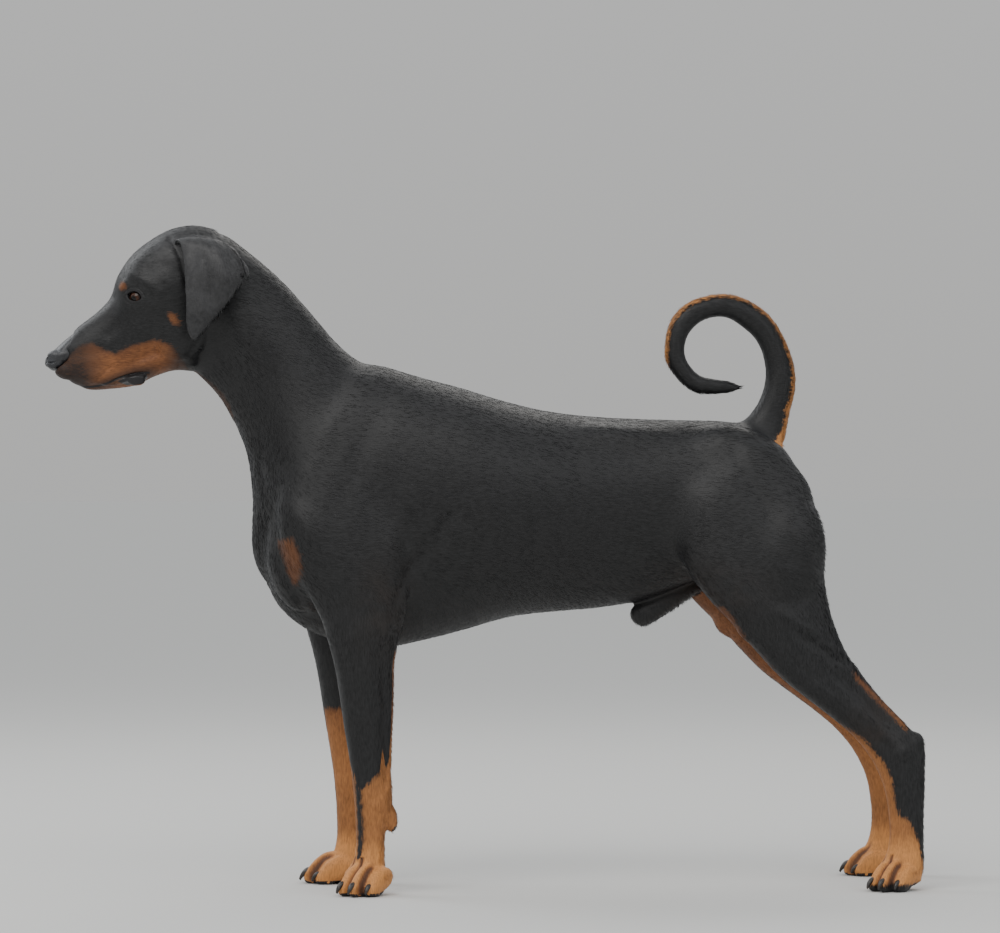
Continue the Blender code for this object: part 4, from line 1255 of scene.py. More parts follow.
# %% [markdown]
# ## The coat's material
# A short coat is thousands of glossy hairs lying flat. Three things tell the eye so: fine streaks along
# the lie, a soft sheen where light grazes, and edges between black and rust that run hair by hair. One
# material does all of it for skin and tufts, so they carry the same markings.

# %% Helpers for node trees
# Each helper finds the tree that it adds to from the node output that it is given.
def add_node(tree, kind, settings=(), **inputs):
    """Adds a node. An input is named, or i and its number, and is a value or another node's output."""
    node = tree.nodes.new("ShaderNode" + kind)
    for key, value in settings:
        setattr(node, key, value)
    for key, value in inputs.items():
        socket = node.inputs[int(key[1:])] if key[0] == "i" and key[1:].isdigit() else node.inputs[key]
        if isinstance(value, bpy.types.NodeSocket):
            tree.links.new(value, socket)
        else:
            socket.default_value = value
    return node


def tree_of(*values):
    return next(value.id_data for value in values if isinstance(value, bpy.types.NodeSocket))


def math_of(operation, a, b, clamp=False):
    settings = (("operation", operation), ("use_clamp", clamp))
    return add_node(tree_of(a, b), "Math", settings, i0=a, i1=b).outputs[0]


def times(a, b, clamp=False):
    return math_of("MULTIPLY", a, b, clamp)


def plus(a, b):
    return math_of("ADD", a, b)


def minus(a, b, clamp=False):
    return math_of("SUBTRACT", a, b, clamp)


def mixed(factor, a, b, blend="MIX"):
    """A blend of two colours."""
    settings = (("data_type", "RGBA"), ("blend_type", blend))
    return add_node(tree_of(factor, a, b), "Mix", settings, i0=factor, i6=a, i7=b).outputs[2]


def between(factor, a, b):
    """A blend of two numbers."""
    return add_node(factor.id_data, "Mix", (("data_type", "FLOAT"),), i0=factor, i2=a, i3=b).outputs[0]


def edge_of(value, low, high):
    """0 below low, 1 above high and a smooth rise between."""
    node = add_node(value.id_data, "MapRange", (("interpolation_type", "SMOOTHSTEP"),), Value=value)
    node.inputs["From Min"].default_value = low
    node.inputs["From Max"].default_value = high
    return node.outputs["Result"]


def noise_of(where, scale, detail):
    return add_node(where.id_data, "TexNoise", Vector=where, Scale=scale, Detail=detail).outputs["Fac"]


def streaks(where, turn, scale, detail):
    """A noise drawn out along the hair."""
    laid = add_node(where.id_data, "Mapping", Vector=where)
    laid.inputs["Rotation"].default_value = (0.0, math.radians(turn), 0.0)
    laid.inputs["Scale"].default_value = scale
    return noise_of(laid.outputs[0], 1.0, detail)


def feed(shader, name, output):
    output.id_data.links.new(output, shader.inputs[name])


def add_bump(shader, height, strength, distance):
    bump = add_node(height.id_data, "Bump", Height=height, Strength=strength, Distance=distance)
    feed(shader, "Normal", bump.outputs[0])


# %% Black and rust coat
BLACK_DEEP = (0.0042, 0.0042, 0.0045, 1.0)
BLACK_LIGHT = (0.0140, 0.0140, 0.0148, 1.0)
BLACK_WARM = (0.0210, 0.0125, 0.0085, 1.0)
# Painted sheen: a paler black where light catches the ears and the top of the skull.
BLACK_PAINTED_SHEEN = (0.0430, 0.0430, 0.0450, 1.0)
RUST_DEEP = (0.105, 0.034, 0.010, 1.0)
RUST_LIGHT = (0.300, 0.115, 0.038, 1.0)
RUST_PALE = (0.680, 0.290, 0.082, 1.0)
# Smoke on the muzzle, and painted shade on the chest patch and in the folds between the toes.
RUST_SMOKE_AND_SHADE = (0.020, 0.0105, 0.0075, 1.0)
LIP_BLACK = (0.012, 0.011, 0.012, 1.0)
# How fast the noise of the hair changes along it and across it
HAIR_LONG = 110
HAIR_FINE = 620
COAT_GLOSS = {
    "Specular IOR Level": 0.38, "Sheen Weight": 0.03, "Sheen Roughness": 0.4,
    "Sheen Tint": (0.78, 0.86, 1.0, 1.0),
}


def make_coat_material():
    made, where, shader = new_material("black_and_rust_coat")
    stored = {}
    for name in MARKS:
        stored[name] = add_node(where.id_data, "Attribute", (("attribute_name", name),)).outputs["Fac"]
    back = streaks(where, -14, (HAIR_LONG, HAIR_FINE, HAIR_FINE), 3.0)
    down = streaks(where, 4, (HAIR_FINE, HAIR_FINE, HAIR_LONG), 3.0)
    hair = between(stored["down"], back, down)
    broad = noise_of(where, 26.0, 3.0)
    clumps = noise_of(where, 150.0, 2.0)
    broad_edge = edge_of(broad, 0.3, 0.7)
    # The black: lighter hair by hair, browner at the elbows and hocks, with painted sheen on ears and skull
    # top
    black = mixed(edge_of(hair, 0.3, 0.72), BLACK_DEEP, BLACK_LIGHT)
    black = mixed(times(stored["warm"], edge_of(broad, 0.2, 0.7)), black, BLACK_WARM)
    # Painted sheen in mottled patches, where light catches the ears and the top of the skull.
    sheen_patches = plus(plus(times(edge_of(clumps, 0.3, 0.7), 0.35), 0.3), times(broad_edge, 0.35))
    black = mixed(times(stored["painted_sheen"], sheen_patches), black, BLACK_PAINTED_SHEEN)
    # The rust: deeper at edges, paler or smoky by tone, painted shade in toe folds and chest, dusky by the
    # black
    deep = edge_of(stored["rust"], 1.0, 13.0)
    tone = plus(times(edge_of(hair, 0.25, 0.75), 0.55), times(broad_edge, 0.35))
    tan = mixed(times(tone, plus(times(deep, 0.5), 0.55)), RUST_DEEP, RUST_LIGHT)
    tan = mixed(times(stored["tone"], plus(hair, 0.25), clamp=True), tan, RUST_PALE)
    tan = mixed(times(stored["tone"], minus(-0.55, hair), clamp=True), tan, RUST_SMOKE_AND_SHADE)
    dusk = times(minus(1.0, edge_of(stored["rust"], 0.0, 5.5)), 0.5)
    tan = mixed(times(dusk, minus(1.0, stored["tone"], clamp=True)), tan, RUST_SMOKE_AND_SHADE)
    # The rust begins where its distance passes 0, moved by the hairs that cross the edge
    ragged = plus(times(minus(hair, 0.5), 9.0), times(minus(clumps, 0.5), 7.0))
    rust = edge_of(plus(stored["rust"], ragged), -2.2, 2.6)
    bare = edge_of(stored["bare"], -0.4, 0.6)
    feed(shader, "Base Color", mixed(bare, mixed(rust, black, tan), LIP_BLACK))
    rough = between(rust, plus(times(hair, 0.22), 0.38), 0.62)
    feed(shader, "Roughness", between(bare, rough, 0.42))
    set_shader(shader, COAT_GLOSS)
    add_bump(shader, plus(hair, times(clumps, 0.5)), 0.22, 0.0010)
    return made


coat_material = make_coat_material()

# %% [markdown]
# ## Finishing a piece
# Every piece is made in the table's millimetres. It is moved to the frame once, in its mesh, so that its
# object stays at the origin, unturned and unscaled, then it rides on the one body of this still model.


# %% One way to finish every piece
def finish_piece(obj, material, replaced=()):
    obj.data.transform(TO_FRAME)
    obj.data.shade_smooth()
    obj.data.materials.clear()
    obj.data.materials.append(material)
    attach(obj, "root")
    if replaced:
        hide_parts(*replaced)
    print(obj.name, triangles_of(obj), "triangles")


FLESH = ["head", "neck", "torso", "tail_root", "tail_rise", "tail_arch", "tail_tip"]
for side, word in SIDES:
    FLESH += [name + word for name in ("shoulder_", "foreleg_", "forepaw_")]
    FLESH += [name + word for name in ("thigh_", "lower_leg_", "hock_", "hindpaw_")]

# %% [markdown]
# ## The eyes
# A dog's eye is a ball with a clear bulge over the iris. A glass shell over a painted ball would cost
# light and noise, so the ball itself carries the bulge, and a clear coat on the shader gives the wet
# gleam. The iris is drawn by the distance from the eye's own axis.

# %% Eye material
IRIS_RADIUS = 8.2
PUPIL_RADIUS = 3.6
IRIS_RINGS = [
    (0.0, (0.002, 0.002, 0.002, 1)), (PUPIL_RADIUS - 0.3, (0.002, 0.002, 0.002, 1)),
    (PUPIL_RADIUS + 0.3, (0.022, 0.008, 0.004, 1)), (IRIS_RADIUS - 2.4, (0.060, 0.020, 0.007, 1)),
    (IRIS_RADIUS - 0.9, (0.024, 0.009, 0.004, 1)), (IRIS_RADIUS, (0.005, 0.003, 0.003, 1)),
    (IRIS_RADIUS + 0.9, (0.012, 0.007, 0.006, 1)), (EYE_RADIUS, (0.05, 0.028, 0.022, 1)),
]
SPOKES = 9.0
SPOKE_DARK = (0.5, 0.45, 0.4, 1)
SPOKE_LIGHT = (1.25, 1.2, 1.1, 1)
EYE_GLOSS = {
    "Roughness": 0.3, "Specular IOR Level": 0.1, "Coat Weight": 0.7, "Coat IOR": 1.4, "Coat Roughness": 0.02,
}


def ring_ramp(tree, rings, widest):
    """A ramp with a colour at each radius."""
    ramp = tree.nodes.new("ShaderNodeValToRGB")
    stops = ramp.color_ramp.elements
    stops[0].color = rings[0][1]
    stops[1].color = rings[-1][1]
    for radius, colour in rings[1:-1]:
        stops.new(radius / widest).color = colour
    return ramp


def make_eye_material(side, word):
    """Rings of colour round the eye's axis, with fine spokes in the iris."""
    made, where, shader = new_material("brown_eye_" + word)
    tree = where.id_data
    place = TO_FRAME @ look_frame(side)
    local = add_node(tree, "Mapping", (("vector_type", "TEXTURE"),), Vector=where)
    local.inputs["Location"].default_value = place.translation
    local.inputs["Rotation"].default_value = place.to_euler()
    local.inputs["Scale"].default_value = (MM, MM, MM)
    parts = add_node(tree, "SeparateXYZ", Vector=local.outputs[0]).outputs
    flat = add_node(tree, "CombineXYZ", X=parts["X"], Y=parts["Z"]).outputs[0]
    away = add_node(tree, "VectorMath", (("operation", "LENGTH"),), i0=flat).outputs["Value"]
    around = times(math_of("ARCTAN2", parts["X"], parts["Z"]), SPOKES)
    spokes = noise_of(add_node(tree, "CombineXYZ", X=around, Y=away).outputs[0], 1.0, 3.0)
    ramp = ring_ramp(tree, IRIS_RINGS, EYE_RADIUS)
    feed(ramp, "Fac", math_of("DIVIDE", away, EYE_RADIUS))
    tint = mixed(edge_of(spokes, 0.3, 0.7), SPOKE_DARK, SPOKE_LIGHT)
    feed(shader, "Base Color", mixed(1.0, ramp.outputs["Color"], tint, "MULTIPLY"))
    set_shader(shader, EYE_GLOSS)
    return made


# %% Eyeballs with their clear bulge
CORNEA_RADIUS = 8.0
CORNEA_HIGH = 0.9


def make_eye(side, word):
    bm = bmesh.new()
    turn = Matrix.Rotation(math.radians(-90), 4, "X")
    bmesh.ops.create_uvsphere(bm, u_segments=64, v_segments=40, radius=EYE_RADIUS, matrix=turn)
    for vert in bm.verts:
        flat = math.hypot(vert.co.x, vert.co.z)
        if vert.co.y > 0 and flat < CORNEA_RADIUS:
            vert.co.y += CORNEA_HIGH * (1 - (flat / CORNEA_RADIUS) ** 2) ** 1.5
    bmesh.ops.transform(bm, matrix=look_frame(side), verts=bm.verts)
    eye = new_object("eyeball_" + word, bm)
    finish_piece(eye, make_eye_material(side, word), ["eye_" + word])


for side, word in SIDES:
    make_eye(side, word)

# %% Wet black rims of the lids
RIM_THICK = 0.75
RIM_DARK = (0.008, 0.007, 0.007, 1)
RIM_LIGHT = (0.03, 0.022, 0.02, 1)


def make_wet_material():
    made, where, shader = new_material("wet_black_rim")
    fine = noise_of(where, 900.0, 2.0)
    feed(shader, "Base Color", mixed(fine, RIM_DARK, RIM_LIGHT))
    set_shader(shader, {"Roughness": 0.22})
    add_bump(shader, fine, 0.2, 0.0003)
    return made


wet_material = make_wet_material()


def ring_tube(bm, path, thick, sides=10):
    """A closed bead along a closed path: a small circle is set at each point, and they are bridged."""
    count = len(path)
    rings = []
    for number in range(count):
        way = (path[(number + 1) % count] - path[number - 1]).normalized()
        turn = way.to_track_quat("Z", "Y").to_matrix().to_4x4()
        made = bmesh.ops.create_circle(bm, segments=sides, radius=thick,
                                       matrix=Matrix.Translation(path[number]) @ turn)
        rings.append(made["verts"])
    for one, two in zip(rings, rings[1:] + rings[:1]):
        turns = [two[k:] + two[:k] for k in range(sides)]
        two = min(turns, key=lambda ring: sum((a.co - b.co).length for a, b in zip(one, ring)))
        for i in range(sides):
            after = (i + 1) % sides
            bm.faces.new((one[i], one[after], two[after], two[i]))


def make_rims():
    bm = bmesh.new()
    for side in (LEFT, RIGHT):
        path = []
        for along, up in almond(48, 0.25):
            out = math.sqrt((EYE_RADIUS + RIM_THICK) ** 2 - along**2 - up**2)
            path.append(look_frame(side) @ Vector((along, out, up)))
        ring_tube(bm, path, RIM_THICK)
    rims = new_object("lid_rims", bm)
    finish_piece(rims, wet_material)


make_rims()

# %% [markdown]
# ## The nose
# The nose is bare leather with a pebbled top, a comma of a nostril on each side that opens into a slit,
# and a groove down its middle. It is small and full of curves, so it is joined from volumes and cut by
# volumes, and a fine voxel remesh rounds every edge as wet leather is rounded.

# %% Volumes of the nose
NOSE_PAD = [
    (-543, 731, -549, 692, 0, 16, 0.0),
    (-555, 721.5, -560, 684, 0, 19.5, 0.0),
    (-566, 711.5, -570, 681, 0, 18.5, 0.0),
    (-576, 702, -578, 686, 0, 14, 0.0),
]
NOSTRIL_SLIT = [
    (-580, 694, -580, 690, 9, 2.0, 0.0),
    (-575, 693, -575, 690, 15, 2.2, 0.0),
    (-567, 694.5, -567, 691.5, 20, 2.5, 0.0),
    (-558, 696.5, -558, 693.5, 23, 2.5, 0.0),
]
PHILTRUM = [
    (-585, 700, -579, 700, 0, 0.8, 0.0),
    (-584, 691, -577.5, 691, 0, 0.9, 0.0),
    (-580, 681, -570, 683, 0, 0.9, 0.0),
]
NOSE_GRID = 0.5


def add_nose_hollows(bm):
    for side in (LEFT, RIGHT):
        ball(bm, (-579, 8.2, 697), (7, 3.6, 4.4), 0.0, side)
        loft(bm, NOSTRIL_SLIT, side, sides=12)
    loft(bm, PHILTRUM, sides=12)


def voxel_join(obj, grid, rounds):
    """Joins overlapping volumes on a fine grid and rounds them a little."""
    join = obj.modifiers.new("join", "REMESH")
    join.mode = "VOXEL"
    join.voxel_size = grid
    smooth = obj.modifiers.new("round", "SMOOTH")
    smooth.factor = 0.5
    smooth.iterations = rounds
    apply_modifiers(obj)


def cut_away(obj, adder):
    """Takes away the volumes that a function adds."""
    bm = bmesh.new()
    adder(bm)
    cutter = new_object("cutter", bm)
    voxel_join(cutter, NOSE_GRID, 1)
    cut = obj.modifiers.new("cut", "BOOLEAN")
    cut.operation = "DIFFERENCE"
    cut.object = cutter
    apply_modifiers(obj)
    bpy.data.objects.remove(cutter)


# %% Nose leather, and the nose itself
LEATHER_DARK = (0.014, 0.014, 0.016, 1)
LEATHER_LIGHT = (0.038, 0.040, 0.045, 1)


def make_leather_material():
    made, where, shader = new_material("nose_leather")
    pebbles = add_node(where.id_data, "TexVoronoi", Vector=where, Scale=620.0).outputs["Distance"]
    fine = noise_of(where, 1200.0, 2.0)
    broad = noise_of(where, 90.0, 2.0)
    feed(shader, "Base Color", mixed(edge_of(broad, 0.3, 0.7), LEATHER_DARK, LEATHER_LIGHT))
    feed(shader, "Roughness", plus(times(fine, 0.08), 0.38))
    add_bump(shader, plus(times(pebbles, -1.0), times(fine, 0.2)), 0.06, 0.0004)
    return made


leather_material = make_leather_material()


def make_nose():
    bm = bmesh.new()
    loft(bm, NOSE_PAD, sides=32, square=0.9, dome=0.5)
    for side in (LEFT, RIGHT):
        # The wing over each nostril, which runs back along the muzzle
        ball(bm, (-566, 11, 700.5), (12, 8, 8), 0.0, side)
        ball(bm, (-557, 15, 701), (14, 6.5, 8), -14.0, side)
        ball(bm, (-571, 12, 689.5), (8, 5.5, 6), 0.0, side)
    nose = new_object("nose_leather", bm)
    voxel_join(nose, NOSE_GRID, 6)
    cut_away(nose, add_nose_hollows)
    voxel_join(nose, NOSE_GRID, 3)
    return nose


def tuck_under(skin, piece, reach, depth):
    """Presses the skin in where a piece lies on it, so that the piece sits in a shallow seat."""
    bm = bmesh.new()
    bm.from_mesh(piece.data)
    tree = BVHTree.FromBMesh(bm)
    bm.free()
    places, normals = points_of(skin.data)
    low = np.array([v.co for v in piece.data.vertices]).min(0) - reach
    high = np.array([v.co for v in piece.data.vertices]).max(0) + reach
    for index in np.nonzero(((places > low) & (places < high)).all(1))[0]:
        here = Vector(places[index])
        spot, normal, face, away = tree.find_nearest(here)
        within = (here - spot).dot(normal) < 0
        if within or away < reach:
            amount = depth if within else depth * (1 - away / reach)
            places[index] -= normals[index] * amount
    set_points(skin.data, places)


nose = make_nose()
tuck_under(skin, nose, 3.0, 4.5)
finish_piece(nose, leather_material, ["nose"])

# %% [markdown]
# ## The ears
# The natural ear is a leather flap that springs from the side of the skull, folds over at its top and
# hangs against the cheek with a round tip. It is drawn by its front edge and its back edge from root to
# tip, with a thickness between, and the fold at the back is a roll that stays open below.

# %% Rows of the ear
# Front edge x, y, z, back edge x, y, z, half thickness, outward bow
EAR = [
    (-415, 36, 843, -354, 38, 842, 6, 1),
    (-414, 48, 850, -343, 54, 844, 5.6, 2),
    (-410, 58, 849, -331, 67, 830, 4.8, 4),
    (-406, 65, 837, -325, 74, 813, 3.8, 6),
    (-404, 70, 818, -328, 77, 797, 3.0, 7),
    (-403, 73, 796, -338, 78, 783, 2.6, 7),
    (-402, 74, 772, -350, 78, 766, 2.3, 6),
    (-402, 74, 750, -365, 77, 748, 2.1, 5),
    (-400, 73, 733, -380, 75, 731, 1.9, 3),
    (-395, 72, 723, -388, 73, 722, 1.6, 1),
]
EAR_ROLL = [
    (-352, 849, -346, 838, 58, 5, 0.0),
    (-339, 838, -331, 827, 68, 6, 0.0),
    (-330, 824, -321, 814, 74, 6, 0.0),
    (-326, 810, -319, 802, 77, 5, 0.0),
]
EAR_GRID = 0.9


def leaf(bm, rows, side, steps, sides):
    """Adds a thin flap through rows that give its two edges in space."""
    table = in_between(rows, steps)
    middles = [Vector((row[:3] + row[3:6]) / 2) for row in table]
    rings = []
    for number, row in enumerate(table):
        chord = Vector(row[:3] - row[3:6]) / 2
        path = middles[min(number + 1, len(table) - 1)] - middles[max(number - 1, 0)]
        across = path.cross(chord).normalized()
        rings.append((middles[number], chord, across * row[6], 0.0, row[7]))
    tube(bm, rings, side, Matrix.Identity(4), sides, 1.0, 0.5)


def add_roll_hollow(bm, side):
    ball(bm, (-326, 79, 800), (4.2, 4.0, 9), -28, side)


def make_ear(side, word):
    bm = bmesh.new()
    leaf(bm, EAR, side, 8, 40)
    loft(bm, EAR_ROLL, side, sides=20)
    ear = new_object("ear_flap_" + word, bm)
    voxel_join(ear, EAR_GRID, 3)
    cut_away(ear, lambda bm: add_roll_hollow(bm, side))
    places = points_of(ear.data)[0]
    x, y, z = places.T
    # The front edge turns out a little, and the leather dips in its middle
    front = bell((x + 402, 7)) * smooth_share(z, 725, 760) * smooth_share(-z, -840, -815)
    dip = bell((x + 374 + (z - 780) * 0.15, 9)) * smooth_share(z, 748, 785)
    dip = dip * smooth_share(-z, -848, -825)
    swell = bell((x + 352 + (z - 800) * 0.2, 9)) * smooth_share(z, 770, 800)
    ripple = 0.5 * np.sin(z / 13.0 + x / 21.0)
    places[:, 1] += side * (1.6 * front - 3.4 * dip + 2.2 * swell + ripple * smooth_share(z, 722, 750))
    set_points(ear.data, places)
    return ear


ears = {}
for side, word in SIDES:
    ears[word] = make_ear(side, word)
    mark(ears[word])

# %% [markdown]
# ## The claws
# Each claw is a curved, blunt horn that leaves the toe between two folds of skin. They are one joined
# mesh, as they are all alike, and a piece of their own, because horn has its own gloss.

# %% Horn, and all sixteen claws
HORN_DARK = (0.010, 0.009, 0.009, 1)
HORN_LIGHT = (0.055, 0.045, 0.038, 1)


def make_horn_material():
    made, where, shader = new_material("black_horn")
    grain = streaks(where, 30, (260, 900, 900), 2.0)
    feed(shader, "Base Color", mixed(edge_of(grain, 0.3, 0.75), HORN_DARK, HORN_LIGHT))
    set_shader(shader, {"Roughness": 0.34})
    add_bump(shader, grain, 0.2, 0.0004)
    return made


def make_claws():
    bm = bmesh.new()
    for paw in all_paws():
        for toe in toe_places(paw):
            loft(bm, CLAW, place=toe, sides=16, steps=4, dome=0.3)
    claws = new_object("claws", bm)
    finish_piece(claws, make_horn_material())


make_claws()

# %% [markdown]
# ## The tufts of the coat
# The shader draws the flat hairs, but without real ones every outline stays too clean, and light never
# catches a tip. Each tuft is a thin blade of three sides: its root is sunk, its middle lies on the skin and
# its tip comes down to it again. One blade is made with operators, and arrays copy it to many roots, which
# is quick and gives real mesh that every program can read. Body hair is about 10 mm long here, and it is
# shorter on legs and head, and shortest on paws and round the eyes.

# %% One blade
# How far along the hair each ring lies, its width, its height, and how far it is lifted
BLADE_RINGS = [(0.0, 0.30, 0.5, -0.9), (0.42, 0.5, 0.4, 0.5), (1.0, 0.0, 0.0, 0.1)]


def make_blade():
    """The corners and triangles of one blade: X along the hair, Y across it, Z away from the skin."""
    bm = bmesh.new()
    loop = bmesh.ops.create_circle(bm, segments=3, radius=1.0)["verts"]
    spokes = [vert.co.copy() for vert in loop]
    bm.faces.new(loop)
    for number, (along, wide, high, lift) in enumerate(BLADE_RINGS):
        loop = next_loop(bm, loop) if number else loop
        for vert, spoke in zip(loop, spokes):
            vert.co = Vector((along, spoke.x * wide, lift - spoke.y * high))
    bmesh.ops.pointmerge(bm, verts=loop, merge_co=loop[0].co)
    bmesh.ops.recalc_face_normals(bm, faces=bm.faces)
    bmesh.ops.triangulate(bm, faces=bm.faces)
    bm.verts.index_update()
    corners = np.array([vert.co for vert in bm.verts])
    faces = np.array([[vert.index for vert in face.verts] for face in bm.faces])
    bm.free()
    return corners, faces


BLADE, BLADE_FACES = make_blade()
print("one blade has", len(BLADE), "corners and", len(BLADE_FACES), "triangles")

# %% Roots on the skin
SEED = 11
random = np.random.default_rng(SEED)


def roots_on(obj, weight_of, per_square_metre):
    """Random places on a piece, denser where the weight is higher, with normals and markings."""
    mesh = obj.data
    mesh.calc_loop_triangles()
    corners = np.empty(len(mesh.loop_triangles) * 3, np.int32)
    mesh.loop_triangles.foreach_get("vertices", corners)
    corners = corners.reshape(-1, 3)
    places, normals = points_of(mesh)
    a, b, c = (places[corners[:, k]] for k in range(3))
    areas = np.linalg.norm(np.cross(b - a, c - a), axis=1) / 2
    middles = (a + b + c) / 3
    areas = areas * np.clip(weight_of(middles, unit(normals[corners].sum(1))), 0, None)
    count = int(areas.sum() * 1e-6 * per_square_metre)
    chosen = random.choice(len(areas), size=count, p=areas / areas.sum())
    mix = random.dirichlet((1, 1, 1), size=count)
    corners = corners[chosen]
    normals = unit(np.einsum("ij,ijk->ik", mix, normals[corners]))
    marks = [dots(mix, value_at(mesh, name)[corners]) for name in MARKS]
    return np.einsum("ij,ijk->ik", mix, places[corners]), normals, marks


# %% An unwrap of the body, limb by limb
def limb_axes(side):
    return [
        [(-160, side * 85, 470), (-160, side * 82, 0)],
        [
            (330, side * 70, 560), (350, side * 85, 430), (430, side * 97, 290), (545, side * 98, 190),
            (540, side * 103, 0),
        ],
    ]


SPINE = [
    (-590, 0, 690), (-440, 0, 765), (-340, 0, 770), (-230, 0, 610), (-100, 0, 505), (150, 0, 495),
    (420, 0, 520),
]
AXES = {
    "spine": [SPINE],
    "fore": [limb_axes(LEFT)[0], limb_axes(RIGHT)[0]],
    "hind": [limb_axes(LEFT)[1], limb_axes(RIGHT)[1]],
    "legs": limb_axes(LEFT) + limb_axes(RIGHT),
    "tail": [[tuple(middle) for middle in TAIL_LINE[::4]]],
    "ears": [
        [(-380, side * 50, 850), (-375, side * 66, 790), (-392, side * 66, 715)] for side in (LEFT, RIGHT)
    ],
}


def unrolled(points, axes):
    """Places on a square map: how far along its limb a point lies, and where round it."""
    nearest = np.full(len(points), 1e6)
    flat = np.zeros((len(points), 2))
    for band, axis in enumerate(axes):
        line = np.array(axis, float)
        lengths = np.linalg.norm(np.diff(line, axis=0), axis=1)
        before = np.concatenate([[0.0], np.cumsum(lengths)])
        for number, (start, end) in enumerate(zip(line, line[1:])):
            way = (end - start) / lengths[number]
            along = np.clip((points - start) @ way, 0, lengths[number])
            out = points - start - along[:, None] * way
            away = np.linalg.norm(out, axis=1)
            up = np.cross(way, (0, 1, 0))
            angle = np.arctan2(out @ up / np.linalg.norm(up), out[:, 1]) / (2 * math.pi) + 0.5
            closer = away < nearest
            nearest[closer] = away[closer]
            flat[closer, 0] = (band + 0.02 + 0.96 * angle[closer]) / len(axes)
            flat[closer, 1] = 0.02 + 0.96 * (before[number] + along[closer]) / before[-1]
    return flat


# %% Many blades as one mesh
UV_PATCH = 0.003
OWN_TURN = 0.03
ROUNDNESS = 0.22


def make_tufts(name, roots, ways, sizes, lift, axes):
    """One piece of coat: a blade at each root. Sizes are length, width and height in millimetres."""
    points, normals, marks = roots
    count = len(points)
    slant = np.radians(lift)[:, None]
    turned = ways * np.cos(slant) + normals * np.sin(slant)
    above = normals * np.cos(slant) - ways * np.sin(slant)
    across = np.cross(above, turned)
    length, width, height = (size[:, None, None] for size in sizes)
    shape = BLADE[None, :, :]
    corners = points[:, None, :] + turned[:, None, :] * shape[..., 0:1] * length
    corners = corners + across[:, None, :] * shape[..., 1:2] * width
    corners = corners + above[:, None, :] * shape[..., 2:3] * height
    corners[..., 2] = np.maximum(corners[..., 2], TUFT_CLEAR)
    faces = (BLADE_FACES[None] + (np.arange(count) * len(BLADE))[:, None, None]).reshape(-1)
    mesh = bpy.data.meshes.new(name)
    mesh.vertices.add(count * len(BLADE))
    mesh.vertices.foreach_set("co", corners.astype(np.float32).ravel())
    mesh.loops.add(len(faces))
    mesh.loops.foreach_set("vertex_index", faces.astype(np.int32))
    mesh.polygons.add(len(faces) // 3)
    mesh.polygons.foreach_set("loop_start", np.arange(0, len(faces), 3, dtype=np.int32))
    mesh.update(calc_edges=True)
    # A flat hair is lit as the skin under it is, a little rounded and each turned by a little of its own
    own_turn = np.cross(normals, random.normal(0, OWN_TURN, (count, 3)))[:, None, :]
    lit = unit(normals[:, None, :] + own_turn + across[:, None, :] * shape[..., 1:2] * ROUNDNESS)
    mesh.normals_split_custom_set_from_vertices(lit.reshape(-1, 3))
    for key, values in zip(MARKS, marks):
        set_value(mesh, key, np.repeat(values, len(BLADE)))
    flat = unrolled(points, axes)[:, None, :] + UV_PATCH * (shape[..., :2] - (0.5, 0.0))
    layer = mesh.uv_layers.new(name="OFBake")
    layer.data.foreach_set("uv", flat.reshape(-1, 2)[faces].astype(np.float32).ravel())
    finish_piece(into_scene(name, mesh), coat_material)


# %% The flat coat of every region
def coat_weight(p, n):
    """1 where hair grows, and 0 on bare skin, in the eyes and under the nose."""
    bare = bare_of(p, n) > -1.0
    nose = (p[:, 0] < -541) & (p[:, 2] > 681)
    return np.where(bare | nose, 0.0, 1.0)


def hair_length(p):
    """The length of the hair in millimetres."""
    x, y, z = p.T
    length = 6.0 + 4.0 * smooth_share(z, 250, 420)
    head = smooth_share(-x, 350, 430) * (z > 600)
    length = length * (1 - head) + (5.0 - 1.6 * smooth_share(-x, 440, 540)) * head
    length = length * (1 - 0.3 * smooth_share(-z, -80, -45))
    for side in (LEFT, RIGHT):
        away = np.linalg.norm(p - np.array([EYE[0], side * EYE[1], EYE[2]]), axis=1)
        length = length * (0.45 + 0.55 * smooth_share(away, 15, 32))
    return length


def region_of(p):
    """The region of the coat of each point, as a number: head, neck, body, forelegs, hind legs, tail."""
    x, y, z = unstepped(p), p[:, 1], p[:, 2]
    region = np.full(len(p), 2)
    region[(x < -215) & (z > 560)] = 1
    region[(x < -372) & (z > 640)] = 0
    region[(x < 0) & (z < 345)] = 3
    region[(x > 180) & (z < 420) & (np.abs(y) > 30)] = 4
    tail = (x > 225) & (z > 590)
    row, away = on_tail(p[tail])
    tail[tail] = (away < 30) & (p[tail][:, 2] > 612)
    region[tail] = 5
    return region


# For each piece: region, side of the body (0 for both), tufts for each square metre, and its axes
COATS = [
    ("coat_head", 0, 0, 150000, "spine"),
    ("coat_neck", 1, 0, 72000, "spine"),
    ("coat_body_left", 2, LEFT, 52000, "spine"),
    ("coat_body_right", 2, RIGHT, 52000, "spine"),
    ("coat_forelegs", 3, 0, 100000, "fore"),
    ("coat_hind_legs", 4, 0, 88000, "hind"),
    ("coat_tail", 5, 0, 110000, "tail"),
]


def spread(count, middle, share_either_way):
    """Random factors round a middle."""
    return middle * (1 + share_either_way * random.uniform(-1, 1, count))


def swung(ways, normals, degrees):
    """The directions turned a little about the normals, each by its own amount."""
    angle = np.radians(degrees * random.normal(0, 1, len(ways)))[:, None]
    return ways * np.cos(angle) + np.cross(normals, ways) * np.sin(angle)


# For each kind of hair: how far its length varies, its width and its height for its length, how far its
# lift varies, and how far it swings in degrees
FLAT_HAIR = (0.25, 0.12, 0.028, 0.9, 7)
LONG_HAIR = (0.3, 0.13, 0.04, 0.6, 9)


